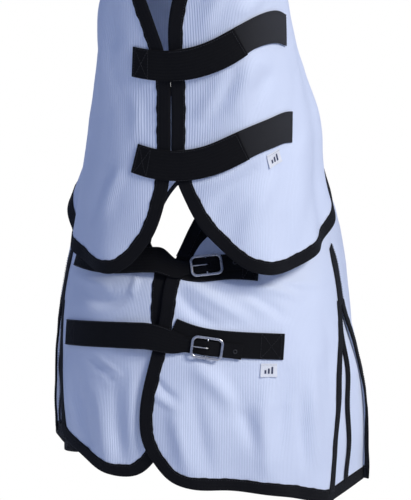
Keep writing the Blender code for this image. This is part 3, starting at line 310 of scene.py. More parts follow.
# ---------------------------------------------------------------- folds of the cloth
# Each fold is its height and width and the x, z of three points of its line, seen from the
# front, in millimetres: a soft ridge, or a hollow where the height is minus.
FOLD_DEPTH = 1.35
BODY_FOLDS = {
    +1: (
        (5, 9, 52, -415, 130, -425, 210, -450),
        (-4.5, 10, 50, -425, 120, -450, 185, -490),
        (6, 13, -30, -410, 40, -450, 110, -490),
        (-5, 12, -36, -430, 0, -470, 60, -505),
        (4, 12, 20, -400, 75, -430, 150, -480),
        (3, 10, 130, -400, 185, -418, 250, -425),
        (6.5, 17, -5, -565, 60, -625, 95, -670),
        (-5, 16, 55, -590, 90, -660, 130, -760),
        (-3.5, 7, -75, -590, -60, -612, -30, -640),
        (3, 7, -82, -618, -55, -640, -20, -655),
        (5, 14, -40, -640, -30, -700, -10, -790),
        (-4, 15, -5, -600, 10, -690, 30, -800),
        (-6, 16, 185, -560, 172, -640, 160, -760),
        (6, 14, 222, -540, 226, -650, 240, -790),
        (-5, 10, 203, -620, 206, -700, 212, -790),
        (5, 14, 140, -600, 128, -700, 140, -800),
        (-4, 12, 250, -480, 262, -560, 262, -680),
        (1.2, 3, 30, -668, 120, -652, 225, -655),
    ),
    -1: (
        (5, 12, -285, -400, -225, -408, -160, -425),
        (-6, 15, -225, -440, -170, -455, -120, -435),
        (3, 8, -120, -385, -112, -405, -125, -440),
        (2.2, 4, -215, -550, -175, -570, -135, -597),
        (-2, 6, -225, -560, -185, -585, -150, -612),
        (1, 3, -225, -597, -180, -598, -130, -597),
        (5, 13, -262, -560, -258, -650, -235, -730),
        (-5.5, 13, -232, -590, -228, -670, -205, -750),
        (4, 16, -190, -620, -180, -700, -165, -790),
        (-3.5, 13, -155, -600, -150, -690, -142, -780),
        (3, 12, -120, -570, -122, -660, -125, -760),
    ),
}
NECK_FOLDS = {
    +1: (
        (4.5, 11, 72, -25, 45, -70, 12, -115),
        (-4, 10, 94, -20, 62, -80, 22, -130),
        (4, 12, 125, 0, 100, -50, 75, -105),
        (-3.5, 12, 148, -20, 124, -70, 110, -120),
        (-5, 12, 130, -190, 85, -230, 32, -290),
        (4, 12, 100, -190, 55, -215, 5, -250),
        (4.5, 15, 150, -215, 120, -270, 85, -340),
        (4, 16, 190, -130, 196, -240, 190, -350),
        (-4, 14, 222, -80, 232, -190, 228, -300),
        (4, 14, 80, 130, 52, 80, 22, 30),
        (-3.5, 13, 110, 160, 80, 100, 45, 50),
        (3, 12, 140, 120, 120, 90, 90, 60),
    ),
    -1: (
        (5, 13, -165, 140, -155, 30, -148, -100),
        (-4.5, 12, -140, 120, -130, 20, -125, -40),
        (3.5, 10, -100, -60, -95, -110, -102, -155),
        (-3.5, 12, -185, 20, -186, -90, -198, -200),
        (4.5, 12, -110, -190, -150, -240, -170, -300),
        (-4, 12, -140, -180, -178, -240, -195, -310),
        (3.5, 12, -200, -130, -212, -200, -225, -280),
    ),
}
# Straps press the cloth flat: (line, half width) on each chart.
PRESSED = {
    "body": [(UPPER_RIGHT, 0.025), (UPPER_LEFT, 0.025), (LOWER_RIGHT, 0.025),
             (LOWER_LEFT, 0.025)],
    "neck": [(NECK_UPPER, 0.029), (NECK_LOWER, 0.029)],
}
T_METRES = {"body": 0.50, "neck": 0.90}


def line_distance(points, route):
    """Distance of plane points from a polyline, and the nearest place along it, 0 to 1."""
    start, run = route[:-1], np.diff(route, axis=0)
    away = points[:, None] - start
    share = np.clip((away * run).sum(-1) / (run ** 2).sum(-1), 0, 1)
    gap = np.linalg.norm(away - share[..., None] * run, axis=-1)
    k = gap.argmin(axis=1)
    pick = np.arange(len(points))
    return gap[pick, k], (k + share[pick, k]) / len(start)


def fold_heights(points, folds):
    total = np.zeros(len(points))
    for height, width, *line in folds:
        route = spline(np.reshape(line, (-1, 2)) / 1000, np.linspace(0, 1, 13))
        gap, share = line_distance(points[:, [0, 2]], route)
        gap = gap / (width / 1000)
        fade = np.sin(pi * np.clip(share, 0, 1)) ** 0.8
        shape = 1.35 * np.exp(-gap ** 2) - 0.35 * np.exp(-(gap / 2.3) ** 2)
        total += FOLD_DEPTH * height / 1000 * fade * shape
    return total


def ripples(points, amount, shortest, longest, waves=14):
    """Small unevenness: a sum of waves in fixed directions."""
    total = np.zeros(len(points))
    for i in range(waves):
        a = i * 2.399963
        rise = -1 + 2 * (i + 0.5) / waves
        flat = np.sqrt(1 - rise * rise)
        way = np.array([flat * cos(a), flat * sin(a), rise])
        length = shortest * (longest / shortest) ** ((i * 5 % waves) / (waves - 1))
        total += np.sin(points @ way * 2 * pi / length + 1.7 * i) * length / longest
    return total * amount / np.sqrt(waves / 2)


def pressed(st, which):
    """0 where a strap presses the cloth flat, 1 well away from it."""
    scale = (1, T_METRES[which])
    free = np.ones(len(st))
    for line, half in PRESSED[which]:
        gap, _ = line_distance(st * scale, spline(line, np.linspace(0, 1, 13)) * scale)
        free *= smooth((gap - half * 0.8) / 0.024)
    return free


def body_height(st, side):
    """Height of the body cloth's middle over the form."""
    flat = st.reshape(-1, 2)
    points = body.at(flat)
    lap, flare = body_lift(flat)
    own, t = flat[:, 0] * side, flat[:, 1]
    front = 1 - smooth((own - 0.30) / 0.08)
    folds = fold_heights(points, BODY_FOLDS[side]) * front
    flank = smooth((own - 0.44) / 0.12) * smooth((t - 0.22) / 0.6)
    hang = 0.0065 * np.sin(points[:, 1] * 2 * pi / 0.285 + 0.8 + 0.5 * side + 1.6 * t)
    hang += 0.0035 * np.sin(points[:, 1] * 2 * pi / 0.148 + 2.1 * side - 2.4 * t)
    for s, low in SURCINGLES.values():
        hang *= 1 - np.exp(-((own - s) / 0.075) ** 2 - ((t - low + 0.07) / 0.16) ** 2)
    hem = smooth((t - 0.70) / 0.30) * (1 - flank)
    wave = 0.0045 * np.sin(own * 2 * pi / 0.150 + 1.0 + side) * hem
    slack = ripples(points, 0.0011, 0.05, 0.17)
    height = (lap if side > 0 else 0) + flare + FABRIC / 2
    height = height + (folds + slack) * pressed(flat, "body") + hang * flank + wave
    return height.reshape(st.shape[:-1])


def neck_height(st, side):
    """Height of the neck cloth's middle over the form."""
    flat = st.reshape(-1, 2)
    points = neck.at(flat)
    own, t = flat[:, 0] * side, flat[:, 1]
    front = 1 - smooth((own - 0.25) / 0.12)
    folds = fold_heights(points, NECK_FOLDS[side]) * front
    inner = 1 - smooth((own - 0.49) / 0.05)
    flank = smooth((own - 0.20) / 0.12) * inner
    hang = 0.0045 * np.sin(own * 2 * pi / 0.125 + 1.3 * side + 2.2 * t) * flank
    hem = smooth((t - 0.80) / 0.20) * inner
    wave = 0.0040 * np.sin(own * 2 * pi / 0.135 + 2.0 + side) * hem
    slack = ripples(points, 0.0010, 0.05, 0.16) * inner
    billow = np.exp(-((own - 0.36) / 0.11) ** 2 - ((t - 0.73) / 0.11) ** 2) * (side > 0)
    height = (folds + slack + hang) * pressed(flat, "neck") + wave + FABRIC / 2
    height = height + 0.020 * billow
    return height.reshape(st.shape[:-1])


class Cloth:
    """One side's cloth on a chart; own coordinates are (s towards that side, t)."""

    def __init__(self, chart, side, height):
        self.chart, self.side, self.height = chart, side, height

    def st(self, own):
        return np.asarray(own, float) * (self.side, 1)

    def at(self, own):
        st = self.st(own)
        height = self.height(st, self.side)[..., None]
        return self.chart.at(st) + self.chart.normals(st) * height

    def normals(self, own):
        across, down = slopes(self.at, own, 0.0015)
        return unit(np.cross(down, across) * self.side)

    def offset(self, own, step):
        return self.chart.offset(self.st(own), step) * (self.side, 1)


# ---------------------------------------------------------------- materials
class Look:
    """A procedural material, built from the shader back."""

    def __init__(self, name, colour, roughness, metallic=0.0, sheen=0.0):
        self.material = bpy.data.materials.new(name)
        self.material.use_nodes = True
        self.tree = self.material.node_tree
        self.inputs = self.tree.nodes["Principled BSDF"].inputs
        self.colour = colour
        values = {"Base Color": (*colour, 1), "Roughness": roughness, "Metallic": metallic}
        if sheen:
            values |= {"Sheen Weight": sheen, "Sheen Roughness": 0.45}
        for socket, value in values.items():
            self.inputs[socket].default_value = value

    def node(self, kind, inputs=(), **settings):
        """Adds a node: inputs are values of its sockets, or outputs to link them to."""
        node = self.tree.nodes.new("ShaderNode" + kind)
        for key, value in settings.items():
            setattr(node, key, value)
        for key, value in dict(inputs).items():
            if isinstance(value, bpy.types.NodeSocket):
                self.tree.links.new(value, node.inputs[key])
            else:
                node.inputs[key].default_value = value
        return node

    def metric(self):
        """The piece's own measure in metres: as one vector, lengthways and crossways."""
        uv = self.node("UVMap", uv_map="metric").outputs["UV"]
        split = self.node("SeparateXYZ", {"Vector": uv}).outputs
        return uv, split["X"], split["Y"]

    def place(self):
        return self.node("TexCoord").outputs["Object"]

    def math(self, operation, *values):
        return self.node("Math", enumerate(values), operation=operation).outputs[0]

    def wave(self, along, pitch):
        """0 to 1 and back over each pitch."""
        turned = self.math("MULTIPLY_ADD", along, 2 * pi / pitch, 0.0)
        return self.math("MULTIPLY_ADD", self.math("SINE", turned), 0.5, 0.5)

    def noise(self, vector, size, detail=3.0, rough=0.55):
        return self.node("TexNoise", {"Scale": 1 / size, "Detail": detail, "Roughness": rough,
                                      "Vector": vector}).outputs["Fac"]

    def bump(self, height, depth, strength):
        node = self.node("Bump", {"Distance": depth, "Strength": strength, "Height": height})
        self.tree.links.new(node.outputs["Normal"], self.inputs["Normal"])

    def shades(self, factor, dark, light):
        """Base colour from dark to light shares of the look's own colour."""
        ramp = self.node("ValToRGB", {"Fac": factor})
        for element, share in zip(ramp.color_ramp.elements, (dark, light)):
            element.color = (*(c * share for c in self.colour), 1)
        self.tree.links.new(ramp.outputs["Color"], self.inputs["Base Color"])

    def roughness(self, factor, low, high):
        spread = self.math("MULTIPLY_ADD", factor, high - low, low)
        self.tree.links.new(spread, self.inputs["Roughness"])


def fabric_look():
    """White knitted mesh: fine ribs along the cloth with small open stitches between."""
    look = Look("ribbed_mesh_fabric", (0.73, 0.80, 0.95), 0.78, sheen=0.12)
    uv, across, along = look.metric()
    rib = look.wave(across, 0.0031)
    knit = look.wave(along, 0.0017)
    pores = look.math("MULTIPLY", look.math("SUBTRACT", 1.0, rib), knit)
    fine = look.noise(uv, 0.0007, 2.0)
    height = look.math("MULTIPLY_ADD", pores, -0.45, look.math("MULTIPLY_ADD", fine, 0.25, rib))
    look.bump(height, 0.0006, 0.6)
    soil = look.noise(look.place(), 0.16, 4.0)
    tone = look.math("MULTIPLY_ADD", pores, -0.40, look.math("MULTIPLY_ADD", soil, 0.25, 0.72))
    look.shades(look.math("ADD", tone, look.math("MULTIPLY", rib, 0.12)), 0.78, 1.03)
    return look.material


def tape_look(name, colour, weave, sheen):
    """Woven tape: cross ribs, a fine herringbone and a painted highlight on the raised threads."""
    look = Look(name, colour, 0.74, sheen=sheen)
    uv, along, across = look.metric()
    lean = look.math("ABSOLUTE", look.math("SINE", look.math("MULTIPLY", across, pi / 0.006)))
    rib = look.wave(look.math("MULTIPLY_ADD", lean, weave * 1.2, along), weave)
    warp = look.wave(across, weave * 0.8)
    weft = look.math("MULTIPLY", rib, warp)
    fine = look.noise(uv, 0.0006, 3.0)
    height = look.math("MULTIPLY_ADD", fine, 0.5, look.math("ADD", rib, weft))
    look.bump(height, 0.0004, 0.8)
    look.inputs["Specular IOR Level"].default_value = 0.14
    wear = look.noise(look.place(), 0.05, 5.0)
    # Painted highlight: the raised threads (weft) are painted lighter than the hollows between
    # them, and wear adds random lighter and darker patches.
    look.shades(look.math("MULTIPLY_ADD", weft, 0.45, look.math("MULTIPLY", wear, 0.65)),
                0.55, 1.75)
    look.roughness(wear, 0.62, 0.86)
    return look.material


def pile_look():
    """Hook-and-loop tape: short fuzzy pile."""
    look = Look("loop_pile", (0.0045, 0.0045, 0.0058), 0.9, sheen=0.08)
    uv, _, _ = look.metric()
    fuzz = look.noise(uv, 0.0011, 4.0, 0.7)
    look.bump(fuzz, 0.0012, 1.0)
    look.shades(look.math("MULTIPLY_ADD", look.noise(uv, 0.012, 3.0), 0.5, fuzz), 0.4, 1.7)
    return look.material


def thread_look(name, colour):
    look = Look(name, colour, 0.55, sheen=0.1)
    look.shades(look.noise(look.place(), 0.002, 2.0), 0.6, 1.5)
    return look.material


def steel_look():
    """Nickel-plated wire: faint polishing lines and duller patches."""
    look = Look("nickel_plated_steel", (0.62, 0.62, 0.63), 0.27, metallic=1.0)
    place = look.place()
    patches = look.noise(place, 0.008, 4.0)
    look.bump(look.noise(place, 0.0006, 2.0), 0.00005, 0.6)
    look.roughness(patches, 0.16, 0.42)
    look.shades(patches, 0.82, 1.12)
    return look.material


def plastic_look():
    look = Look("black_moulded_plastic", (0.015, 0.015, 0.017), 0.42)
    place = look.place()
    grain = look.noise(place, 0.0009, 3.0)
    look.bump(grain, 0.0001, 0.7)
    look.roughness(look.noise(place, 0.012, 3.0), 0.34, 0.55)
    look.shades(grain, 0.7, 1.4)
    return look.material


def label_look():
    """Woven satin label."""
    look = Look("woven_satin", (0.80, 0.82, 0.86), 0.45, sheen=0.3)
    uv, along, across = look.metric()
    satin = look.math("MULTIPLY", look.wave(along, 0.0009), look.wave(across, 0.0006))
    look.bump(satin, 0.0002, 0.6)
    look.shades(look.math("ADD", satin, look.noise(uv, 0.01)), 0.86, 1.05)
    return look.material


LOOKS = {
    "mesh_fabric": fabric_look(),
    "binding_tape": tape_look("binding_tape", (0.0042, 0.0042, 0.0058), 0.0016, 0.035),
    "strap_webbing": tape_look("strap_webbing", (0.0036, 0.0036, 0.0046), 0.0023, 0.03),
    "pile": pile_look(),
    "thread": thread_look("black_thread", (0.010, 0.010, 0.013)),
    "mark": thread_look("navy_thread", (0.030, 0.040, 0.090)),
    "woven_label": label_look(),
    "plated_steel": steel_look(),
    "black_plastic": plastic_look(),
}


# ---------------------------------------------------------------- mesh building
def linked(name, data):
    made = bpy.data.objects.new(name, data)
    bpy.context.scene.collection.objects.link(made)
    return made


def add_piece(name, points, faces, look, nodes="", body_name="root", uvs=None):
    """A smooth mesh object that rides on a CAD body and may stand for CAD nodes."""
    mesh = bpy.data.meshes.new(name)
    mesh.from_pydata(np.asarray(points, float).reshape(-1, 3).tolist(), [], faces)
    mesh.materials.append(LOOKS[look])
    if uvs is not None:
        layer = mesh.uv_layers.new(name="metric")
        corner = np.empty(len(mesh.loops), np.int32)
        mesh.loops.foreach_get("vertex_index", corner)
        layer.data.foreach_set("uv", np.asarray(uvs, float).reshape(-1, 2)[corner].ravel())
    mesh.shade_smooth()
    made = linked(name, mesh)
    if body_name:
        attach(made, body_name)
    if nodes:
        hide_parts(*nodes.split())
    return made


def grid_faces(rows, columns, flip=False, holes=()):
    faces = []
    for i, j in np.ndindex(rows - 1, columns - 1):
        if (i, j) not in holes:
            a = i * columns + j
            b = a + columns
            faces.append((a, b, b + 1, a + 1) if flip else (a, a + 1, b + 1, b))
    return faces


def grid_measure(points):
    """Lengthways and crossways measure of a grid of points, from its middle."""
    middle = points.shape[1] // 2
    along = run_of(points[:, middle])[:, None]
    across = np.array([run_of(row) for row in points])
    return np.stack(np.broadcast_arrays(along, across - across[:, [middle]]), axis=-1)


def grid_area(points):
    one, other = points[1:, 1:] - points[:-1, :-1], points[1:, :-1] - points[:-1, 1:]
    return np.linalg.norm(np.cross(one, other), axis=-1).sum() / 2


def outward(points, outs):
    """Whether a grid's faces have to be flipped to face along outs."""
    i, j = points.shape[0] // 2, points.shape[1] // 2
    normal = np.cross(points[i, j] - points[i, j - 1], points[i, j] - points[i - 1, j])
    return np.dot(normal, outs[i, j]) > 0


def strip(name, points, outs, thickness, look, nodes="", body_name="root", holes=(),
          rounding=0.0005, uvs=None):
    """A band with thickness, from a grid of points on its inner face."""
    points = np.asarray(points, float)
    faces = grid_faces(*points.shape[:2], outward(points, outs), holes)
    uvs = grid_measure(points) if uvs is None else uvs
    made = add_piece(name, points, faces, look, nodes, body_name, uvs)
    solid = made.modifiers.new("thickness", "SOLIDIFY")
    solid.thickness = thickness
    solid.offset = 1
    solid.use_even_offset = True
    if rounding:
        soft = made.modifiers.new("soft_edges", "BEVEL")
        soft.width = rounding
        soft.segments = 2
        soft.limit_method = "ANGLE"
        soft.angle_limit = radians(50)
    return made


def tube(name, sections, look, nodes="", body_name="root", closed=False):
    """A solid through like sections (count x corners x 3)."""
    sections = np.asarray(sections, float)
    count, corners = sections.shape[:2]
    middle = sections.mean(axis=1)
    faces = []
    for i, j in np.ndindex(count if closed else count - 1, corners):
        here, there, k = i * corners, (i + 1) % count * corners, (j + 1) % corners
        faces.append((here + j, here + k, there + k, there + j))
    if not closed:
        last = (count - 1) * corners
        faces += [tuple(range(corners))[::-1], tuple(range(last, last + corners))]
    side = np.cross(sections[0, 1] - sections[0, 0], sections[1, 0] - sections[0, 0])
    if np.dot(side, sections[0, 0] - middle[0]) < 0:
        faces = [face[::-1] for face in faces]
    uvs = np.stack(np.meshgrid(run_of(middle), run_of(sections[0]), indexing="ij"), axis=-1)
    return add_piece(name, sections, faces, look, nodes, body_name, uvs)


STITCHES = {}


def stitch(line, outs, group="root", pitch=0.0052, length=0.0038, thick=0.0008):
    """Adds a row of stitches along a line of points to a group's thread."""
    line, outs = np.asarray(line, float), np.asarray(outs, float)
    run = run_of(line)
    at = np.arange(pitch / 2, run[-1], pitch)

    def along(values, shift=0.0):
        return np.stack([np.interp(at + shift, run, v) for v in values.T], axis=1)

    middle, out = along(line), unit(along(outs))
    way = unit(along(line, 0.001) - along(line, -0.001))
    side = np.cross(out, way)
    half = thick / 2
    ring = [middle - way * length / 2 - out * half * 0.6]
    for place in (-0.28, 0.28):
        for a in (0, pi / 2, pi, 3 * pi / 2):
            ring.append(middle + way * length * place + (side * cos(a) + out * sin(a)) * half)
    ring.append(middle + way * length / 2 - out * half * 0.6)
    STITCHES.setdefault(group, []).append(np.stack(ring, axis=1))


def stitch_columns(points, outs, columns, rows=slice(None), group="root"):
    for column in columns:
        stitch(points[rows, column], outs[rows, column], group)


def add_stitches():
    for group, found in STITCHES.items():
        stitches = np.concatenate(found)
        faces = []
        for o in range(0, 10 * len(stitches), 10):
            for j, k in ((0, 1), (1, 2), (2, 3), (3, 0)):
                faces.append((o, o + 1 + k, o + 1 + j))
                faces.append((o + 1 + j, o + 1 + k, o + 5 + k, o + 5 + j))
                faces.append((o + 9, o + 5 + j, o + 5 + k))
        add_piece(f"stitching_{group}", stitches, faces, "thread", body_name=group)


# ---------------------------------------------------------------- cloth panels
def coons(front, rear, top, hem, us, vs):
    """Chart grid inside four outline curves, each a function of 0 to 1."""
    u = np.asarray(us)[:, None, None]
    v = np.asarray(vs)[None, :, None]
    top_line, hem_line = top(us)[:, None], hem(us)[:, None]
    front_line, rear_line = front(vs)[None], rear(vs)[None]
    corners = (1 - u) * ((1 - v) * front_line[:, :1] + v * front_line[:, -1:])
    corners = corners + u * ((1 - v) * rear_line[:, :1] + v * rear_line[:, -1:])
    return (1 - v) * top_line + v * hem_line + (1 - u) * front_line + u * rear_line - corners


def curve(points):
    return lambda at: spline(points, at)


def rib_measure(chart, st):
    """Metric coordinates with the ribs running down the cloth: s, and the length along t."""
    points = chart.at(st)
    down = np.zeros(points.shape[:2])
    down[:, 1:] = np.cumsum(np.linalg.norm(np.diff(points, axis=1), axis=2), axis=1)
    return np.stack([st[..., 0], down], axis=-1)


def cloth_panel(name, cloth, grids, node):
    """One sheet from one or more chart grids that share their seam's points, and the area
    that its outline has on the smooth form, before any fold."""
    keys, points, uvs, faces = {}, [], [], []
    for grid in grids:
        at = cloth.at(grid).reshape(-1, 3)
        measure = rib_measure(cloth.chart, cloth.st(grid)).reshape(-1, 2)
        index = []
        for key, point, uv in zip(np.round(grid.reshape(-1, 2), 6), at, measure):
            key = tuple(key)
            if key not in keys:
                keys[key] = len(points)
                points.append(point)
                uvs.append(uv)
            index.append(keys[key])
        cells = grid_faces(*grid.shape[:2], flip=cloth.side < 0)
        faces += [tuple(index[i] for i in face) for face in cells]
    made = add_piece(name, points, faces, "mesh_fabric", node, uvs=uvs)
    solid = made.modifiers.new("thickness", "SOLIDIFY")
    solid.thickness = CLOTH
    solid.offset = 0
    return made, sum(grid_area(cloth.chart.at(cloth.st(grid))) for grid in grids)


def edging(name, cloth, edge, inward, node, width=BINDING_WIDTH, group="root",
           depths=(1, 0.97, 0.72, 0.45, 0.2), lined=True):
    """A folded tape over a cloth edge: edge is a dense line of own chart points and inward
    an own chart direction (ds, dt) that tells which way the cloth lies. Where lined, the
    tape is puckered, hollow for the cloth and stitched on both faces."""
    edge = np.asarray(edge, float)
    rim, out = cloth.at(edge), cloth.normals(edge)
    run = run_of(rim)
    side = np.cross(out, unit(np.gradient(rim, axis=0)))
    side *= np.sign(np.sum(side * (cloth.at(edge + np.asarray(inward) * 0.01) - rim)))
    pucker = 0.00025 * np.sin(run * 2 * pi / 0.0208) + 0.0003 * np.sin(run * 2 * pi / 0.047 + 1)
    pucker = pucker[:, None] * lined

    def under(depth):
        own = cloth.offset(edge, side * depth)
        return cloth.at(own), cloth.normals(own)

    upper, lower = [], []
    for depth in (*(width * share for share in depths), 0.0012):
        point, normal = under(depth + pucker * 2 * depth / width)
        reach = EDGE_REACH - (0.0006 if depth == width else 0.0)
        wavy = pucker * (depth / width)
        upper.append(point + normal * (reach + wavy))
        lower.append(point - normal * (reach - wavy))
    rounds = [rim - side * 0.0021 * cos(radians(a)) + out * 0.0020 * sin(radians(a))
              for a in (50, 0, -50)]
    inner = []
    if lined:
        for depth, height in ((width * 0.97, -0.0008), (0.0004, -0.0008), (0.0004, 0.0008),
                              (width * 0.97, 0.0008)):
            point, normal = under(depth)
            inner.append(point + normal * height)
    sections = np.stack(upper + rounds + lower[::-1] + inner, axis=1)
    made = tube(name, sections, "binding_tape", node, group)
    line, normal = under(width - 0.0035)
    for face in (1, -1) if lined else (1,):
        stitch(line + normal * EDGE_THREAD * face, normal * face, group)
    return made


def dense(points, step=0.006, scale=0.5):
    """Own chart points every few millimetres along an outline."""
    points = np.array(points, float)
    length = np.linalg.norm(np.diff(points * (1, scale), axis=0), axis=1).sum()
    return spline(points, np.linspace(0, 1, max(8, int(length / step))))


def rounded_line(*lines):
    """Outlines joined end to end, with the corners between them eased."""
    line = np.concatenate([lines[0], *(part[1:] for part in lines[1:])])
    for _ in range(6):
        line[1:-1] = line[1:-1] * 0.5 + (line[:-2] + line[2:]) * 0.25
    return line


def body_side(side):
    word = "left" if side > 0 else "right"
    cloth = Cloth(body, side, body_height)
    apex_row = GUSSET_APEX[1]
    rows = np.concatenate([np.linspace(0, apex_row, 46), np.linspace(apex_row, 1, 48)[1:]])

    def seam(line):
        def at(v):
            v = np.asarray(v)
            top = NECKLINE[side][-1]
            above = top + (np.array(GUSSET_APEX) - top) * (v / apex_row)[:, None]
            below = spline(line, np.clip((v - apex_row) / (1 - apex_row), 0, 1))
            return np.where(v[:, None] <= apex_row, above, below)
        return at

    def bind(kind, node, line, inward):
        return edging(f"{kind}_{word}", cloth, line, inward, f"{node}_{word}")

    front = coons(curve(FRONT_EDGE[side]), seam(GUSSET_FRONT[side]), curve(NECKLINE[side]),
                  curve(FRONT_HEM[side]), np.linspace(0, 1, 64), rows)
    rear = coons(seam(GUSSET_REAR[side]), curve(TAIL_EDGE), curve(SPINE_LINE),
                 curve(REAR_HEM[side]), np.linspace(0, 1, 120), rows)
    sheet = cloth_panel(f"cloth_body_{word}", cloth, (front, rear), f"body_panel_{word}")

    front_line = rounded_line(dense(FRONT_EDGE[side]), dense(FRONT_HEM[side]))
    back = dense(SPINE_LINE[SPINE_LINE[:, 0] < 0.62])
    top_line = np.concatenate([dense(NECKLINE[side])[2:], back[1:]])
    rear_line = rounded_line(dense(TAIL_EDGE, 0.008), dense(REAR_HEM[side], 0.009)[::-1])
    pieces = [
        bind("edging_front", "front_binding", front_line, (1, -0.4)),
        bind("edging_neckline", "neckline_binding", top_line, (0.2, 1)),
        bind("tape_gusset_front", "gusset_front_tape", dense(GUSSET_FRONT[side])[2:], (-1, 0)),
        bind("tape_gusset_rear", "gusset_rear_tape", dense(GUSSET_REAR[side])[2:], (1, 0)),
    ]
    if side > 0:
        pieces.append(facing(cloth))
    pieces.append(bind("edging_rear", "rear_binding", rear_line, (-0.5, -1)))
    return *sheet, pieces + gusset(cloth, side, word)


def facing(cloth):
    """The black lining strip inside the left panel's neckline corner."""
    edge = dense(NECKLINE[1], 0.008)
    edge = edge[edge[:, 0] < 0.125]
    along = np.linspace(0, 1, len(edge))
    reach = 0.17 * smooth(along / 0.16) * (1 - smooth((along - 0.55) / 0.45))
    depth = np.stack([0.004 + 0 * reach, 0.03 + reach], axis=-1)[:, None]
    own = edge[:, None] + depth * np.linspace(0, 1, 7)[:, None]
    at, normals = cloth.at(own), cloth.normals(own)
    made = strip("facing_neckline_left", at + normals * 0.0007, normals, 0.0008, "binding_tape")
    stitch_columns(at + normals * 0.0016, normals, (-1,))
    return made


def gusset(cloth, side, word):
    """The folded insert behind the notch, its seam tape, hem and the patch on the apex."""
    tuck = 0.016
    below = SLACK + TAPE + 2 * LAYER_GAP + FABRIC
    down = np.linspace(0.06, 0.975, 40)
    front, rear = spline(GUSSET_FRONT[side], down), spline(GUSSET_REAR[side], down)
    st = cloth.st(np.stack([front - (tuck, 0), front + (0.004, 0), (front + rear) / 2,
                            rear - (0.004, 0), rear + (tuck, 0)], axis=1))
    flare = body_lift(st)[1]
    flare[:, 3] = flare[:, 4]
    flare[:, 2] = flare[:, 1] + (flare[:, 3] - flare[:, 1]) * 0.35
    keys = body.at(st) + body.normals(st) * (flare - below)[..., None]
    spread = spline_weights((0, 0.28, 0.5, 0.72, 1), np.linspace(0, 1, 21))
    points, outs = (np.einsum("aj,ijc->iac", spread, k) for k in (keys, body.normals(st)))
    crease = np.sin(np.linspace(0, pi, 21)) ** 2
    points = points + outs * (0.0022 * np.sin(down * 17 + side)[:, None] * crease)[..., None]
    pieces = [strip(f"cloth_gusset_{word}", points, outs, CLOTH, "mesh_fabric",
                    f"gusset_{word}", rounding=0, uvs=grid_measure(points)[..., ::-1])]
    seam, out = points[:, 10], outs[:, 10]
    across = unit(points[:, 12] - points[:, 8])
    reach = np.array((-1, -0.5, 0, 0.5, 1)) * 0.007
    band = seam[:, None] + across[:, None] * reach[None, :, None] + out[:, None] * 0.0032
    pieces.append(strip(f"tape_gusset_seam_{word}", band[:-1],
                        np.repeat(out[:-1, None], 5, axis=1), TAPE, "binding_tape",
                        f"gusset_seam_tape_{word}"))
    for offset in (-0.0045, 0.0045):
        stitch(seam[:-1] + across[:-1] * offset + out[:-1] * 0.0046, out[:-1])
    drop = unit(points[-1] - points[-2])
    steps = np.array((-0.010, -0.004, 0.004, 0.012, 0.017))
    hem = points[-1][None] + drop[None] * steps[:, None, None] + outs[-1][None] * 0.0012
    pieces.append(strip(f"tape_gusset_hem_{word}", hem, np.repeat(outs[-1:], 5, axis=0),
                        0.0014, "binding_tape", f"gusset_hem_{word}"))
    s, t = GUSSET_APEX
    drops = np.linspace(0.120, -0.030, 25)
    spans = np.linspace(-0.022, 0.022, 13) * (1 - 0.45 * smooth((drops - 0.08) / 0.05))[:, None]
    patch = np.stack([s + spans, np.broadcast_to((t - drops)[:, None], spans.shape)], axis=-1)
    at, normal = cloth.at(patch), cloth.normals(patch)
    pieces.append(strip(f"patch_gusset_{word}", at + normal * 0.0024, normal, TAPE,
                        "binding_tape", f"gusset_patch_{word}"))
    stitch_columns(at + normal * 0.0038, normal, (1, 11))
    for row in (1, 23):
        stitch(at[row] + normal[row] * 0.0038, normal[row])
    return pieces


def ridge_band(name, node, rows, outs, rise, lift, seams):
    """Tape over a ridge, from the lines on its two sides and the one along it."""
    middle = len(rows) // 2
    outs[middle] = unit(outs[middle - 1] + outs[middle + 1])
    rows[middle] = (rows[middle - 1] + rows[middle + 1]) / 2 + outs[middle] * rise
    points, outs = np.stack(rows, axis=1), np.stack(outs, axis=1)
    strip(name, points + outs * lift, outs, TAPE, "binding_tape", node)
    for column, shift in seams:
        line = points[:, column] + outs[:, column] * (lift + 0.0014)
        stitch(line + (shift, 0, 0), outs[:, column])


def spine_band():
    """Tape over the meeting of the two body panels, with two rows of stitches each side."""
    along = np.linspace(0.672, 1.884, 150)
    rows, outs = [], []
    for share in (-1, -0.75, -0.5, -0.25, 0, 0.25, 0.5, 0.75, 1):
        side = -1 if share < 0 else 1
        st = np.stack([along * side, np.zeros_like(along)], axis=1)
        if share:
            st = body.offset(st, np.array([abs(share) * SPINE_TAPE_WIDTH / 2 * side, 0, 0]))
        rows.append(Cloth(body, side, body_height).at(st * (side, 1)))
        outs.append(body.normals(st))
    ridge_band("band_spine", "spine_tape", rows, outs, 0.0012, 0.0024,
               ((0, 0.004), (8, -0.004), (3, 0.0), (5, 0.0)))


# ---------------------------------------------------------------- straps
def strap_rows(chart, line, at, half, heights, shares=(-1, -0.5, 0, 0.5, 1)):
    """Rows of points across a strap laid on the form, and their normals."""
    line = np.array(line)
    at = np.asarray(at, float)
    centre = spline(line, at)
    ahead = chart.at(spline(line, np.clip(at + 0.01, 0, 1)))
    behind = chart.at(spline(line, np.clip(at - 0.01, 0, 1)))
    across = unit(np.cross(chart.normals(centre), ahead - behind))
    points, outs = [], []
    for share in shares:
        st = chart.offset(centre, across * half * share)
        out = chart.normals(st)
        points.append(chart.at(st) + out * np.asarray(heights)[:, None])
        outs.append(out)
    return np.stack(points, axis=1), np.stack(outs, axis=1)


def finer(keys, count, across):
    """A dense grid through key rows: count rows, and columns at the across shares -1 to 1."""
    keys = np.asarray(keys, float)
    run = run_of(keys[:, keys.shape[1] // 2])
    along = spline_weights(run / run[-1], np.linspace(0, 1, count))
    over = spline_weights(np.linspace(-1, 1, keys.shape[1]), across)
    return np.einsum("ai,bj,ijc->abc", along, over, keys)


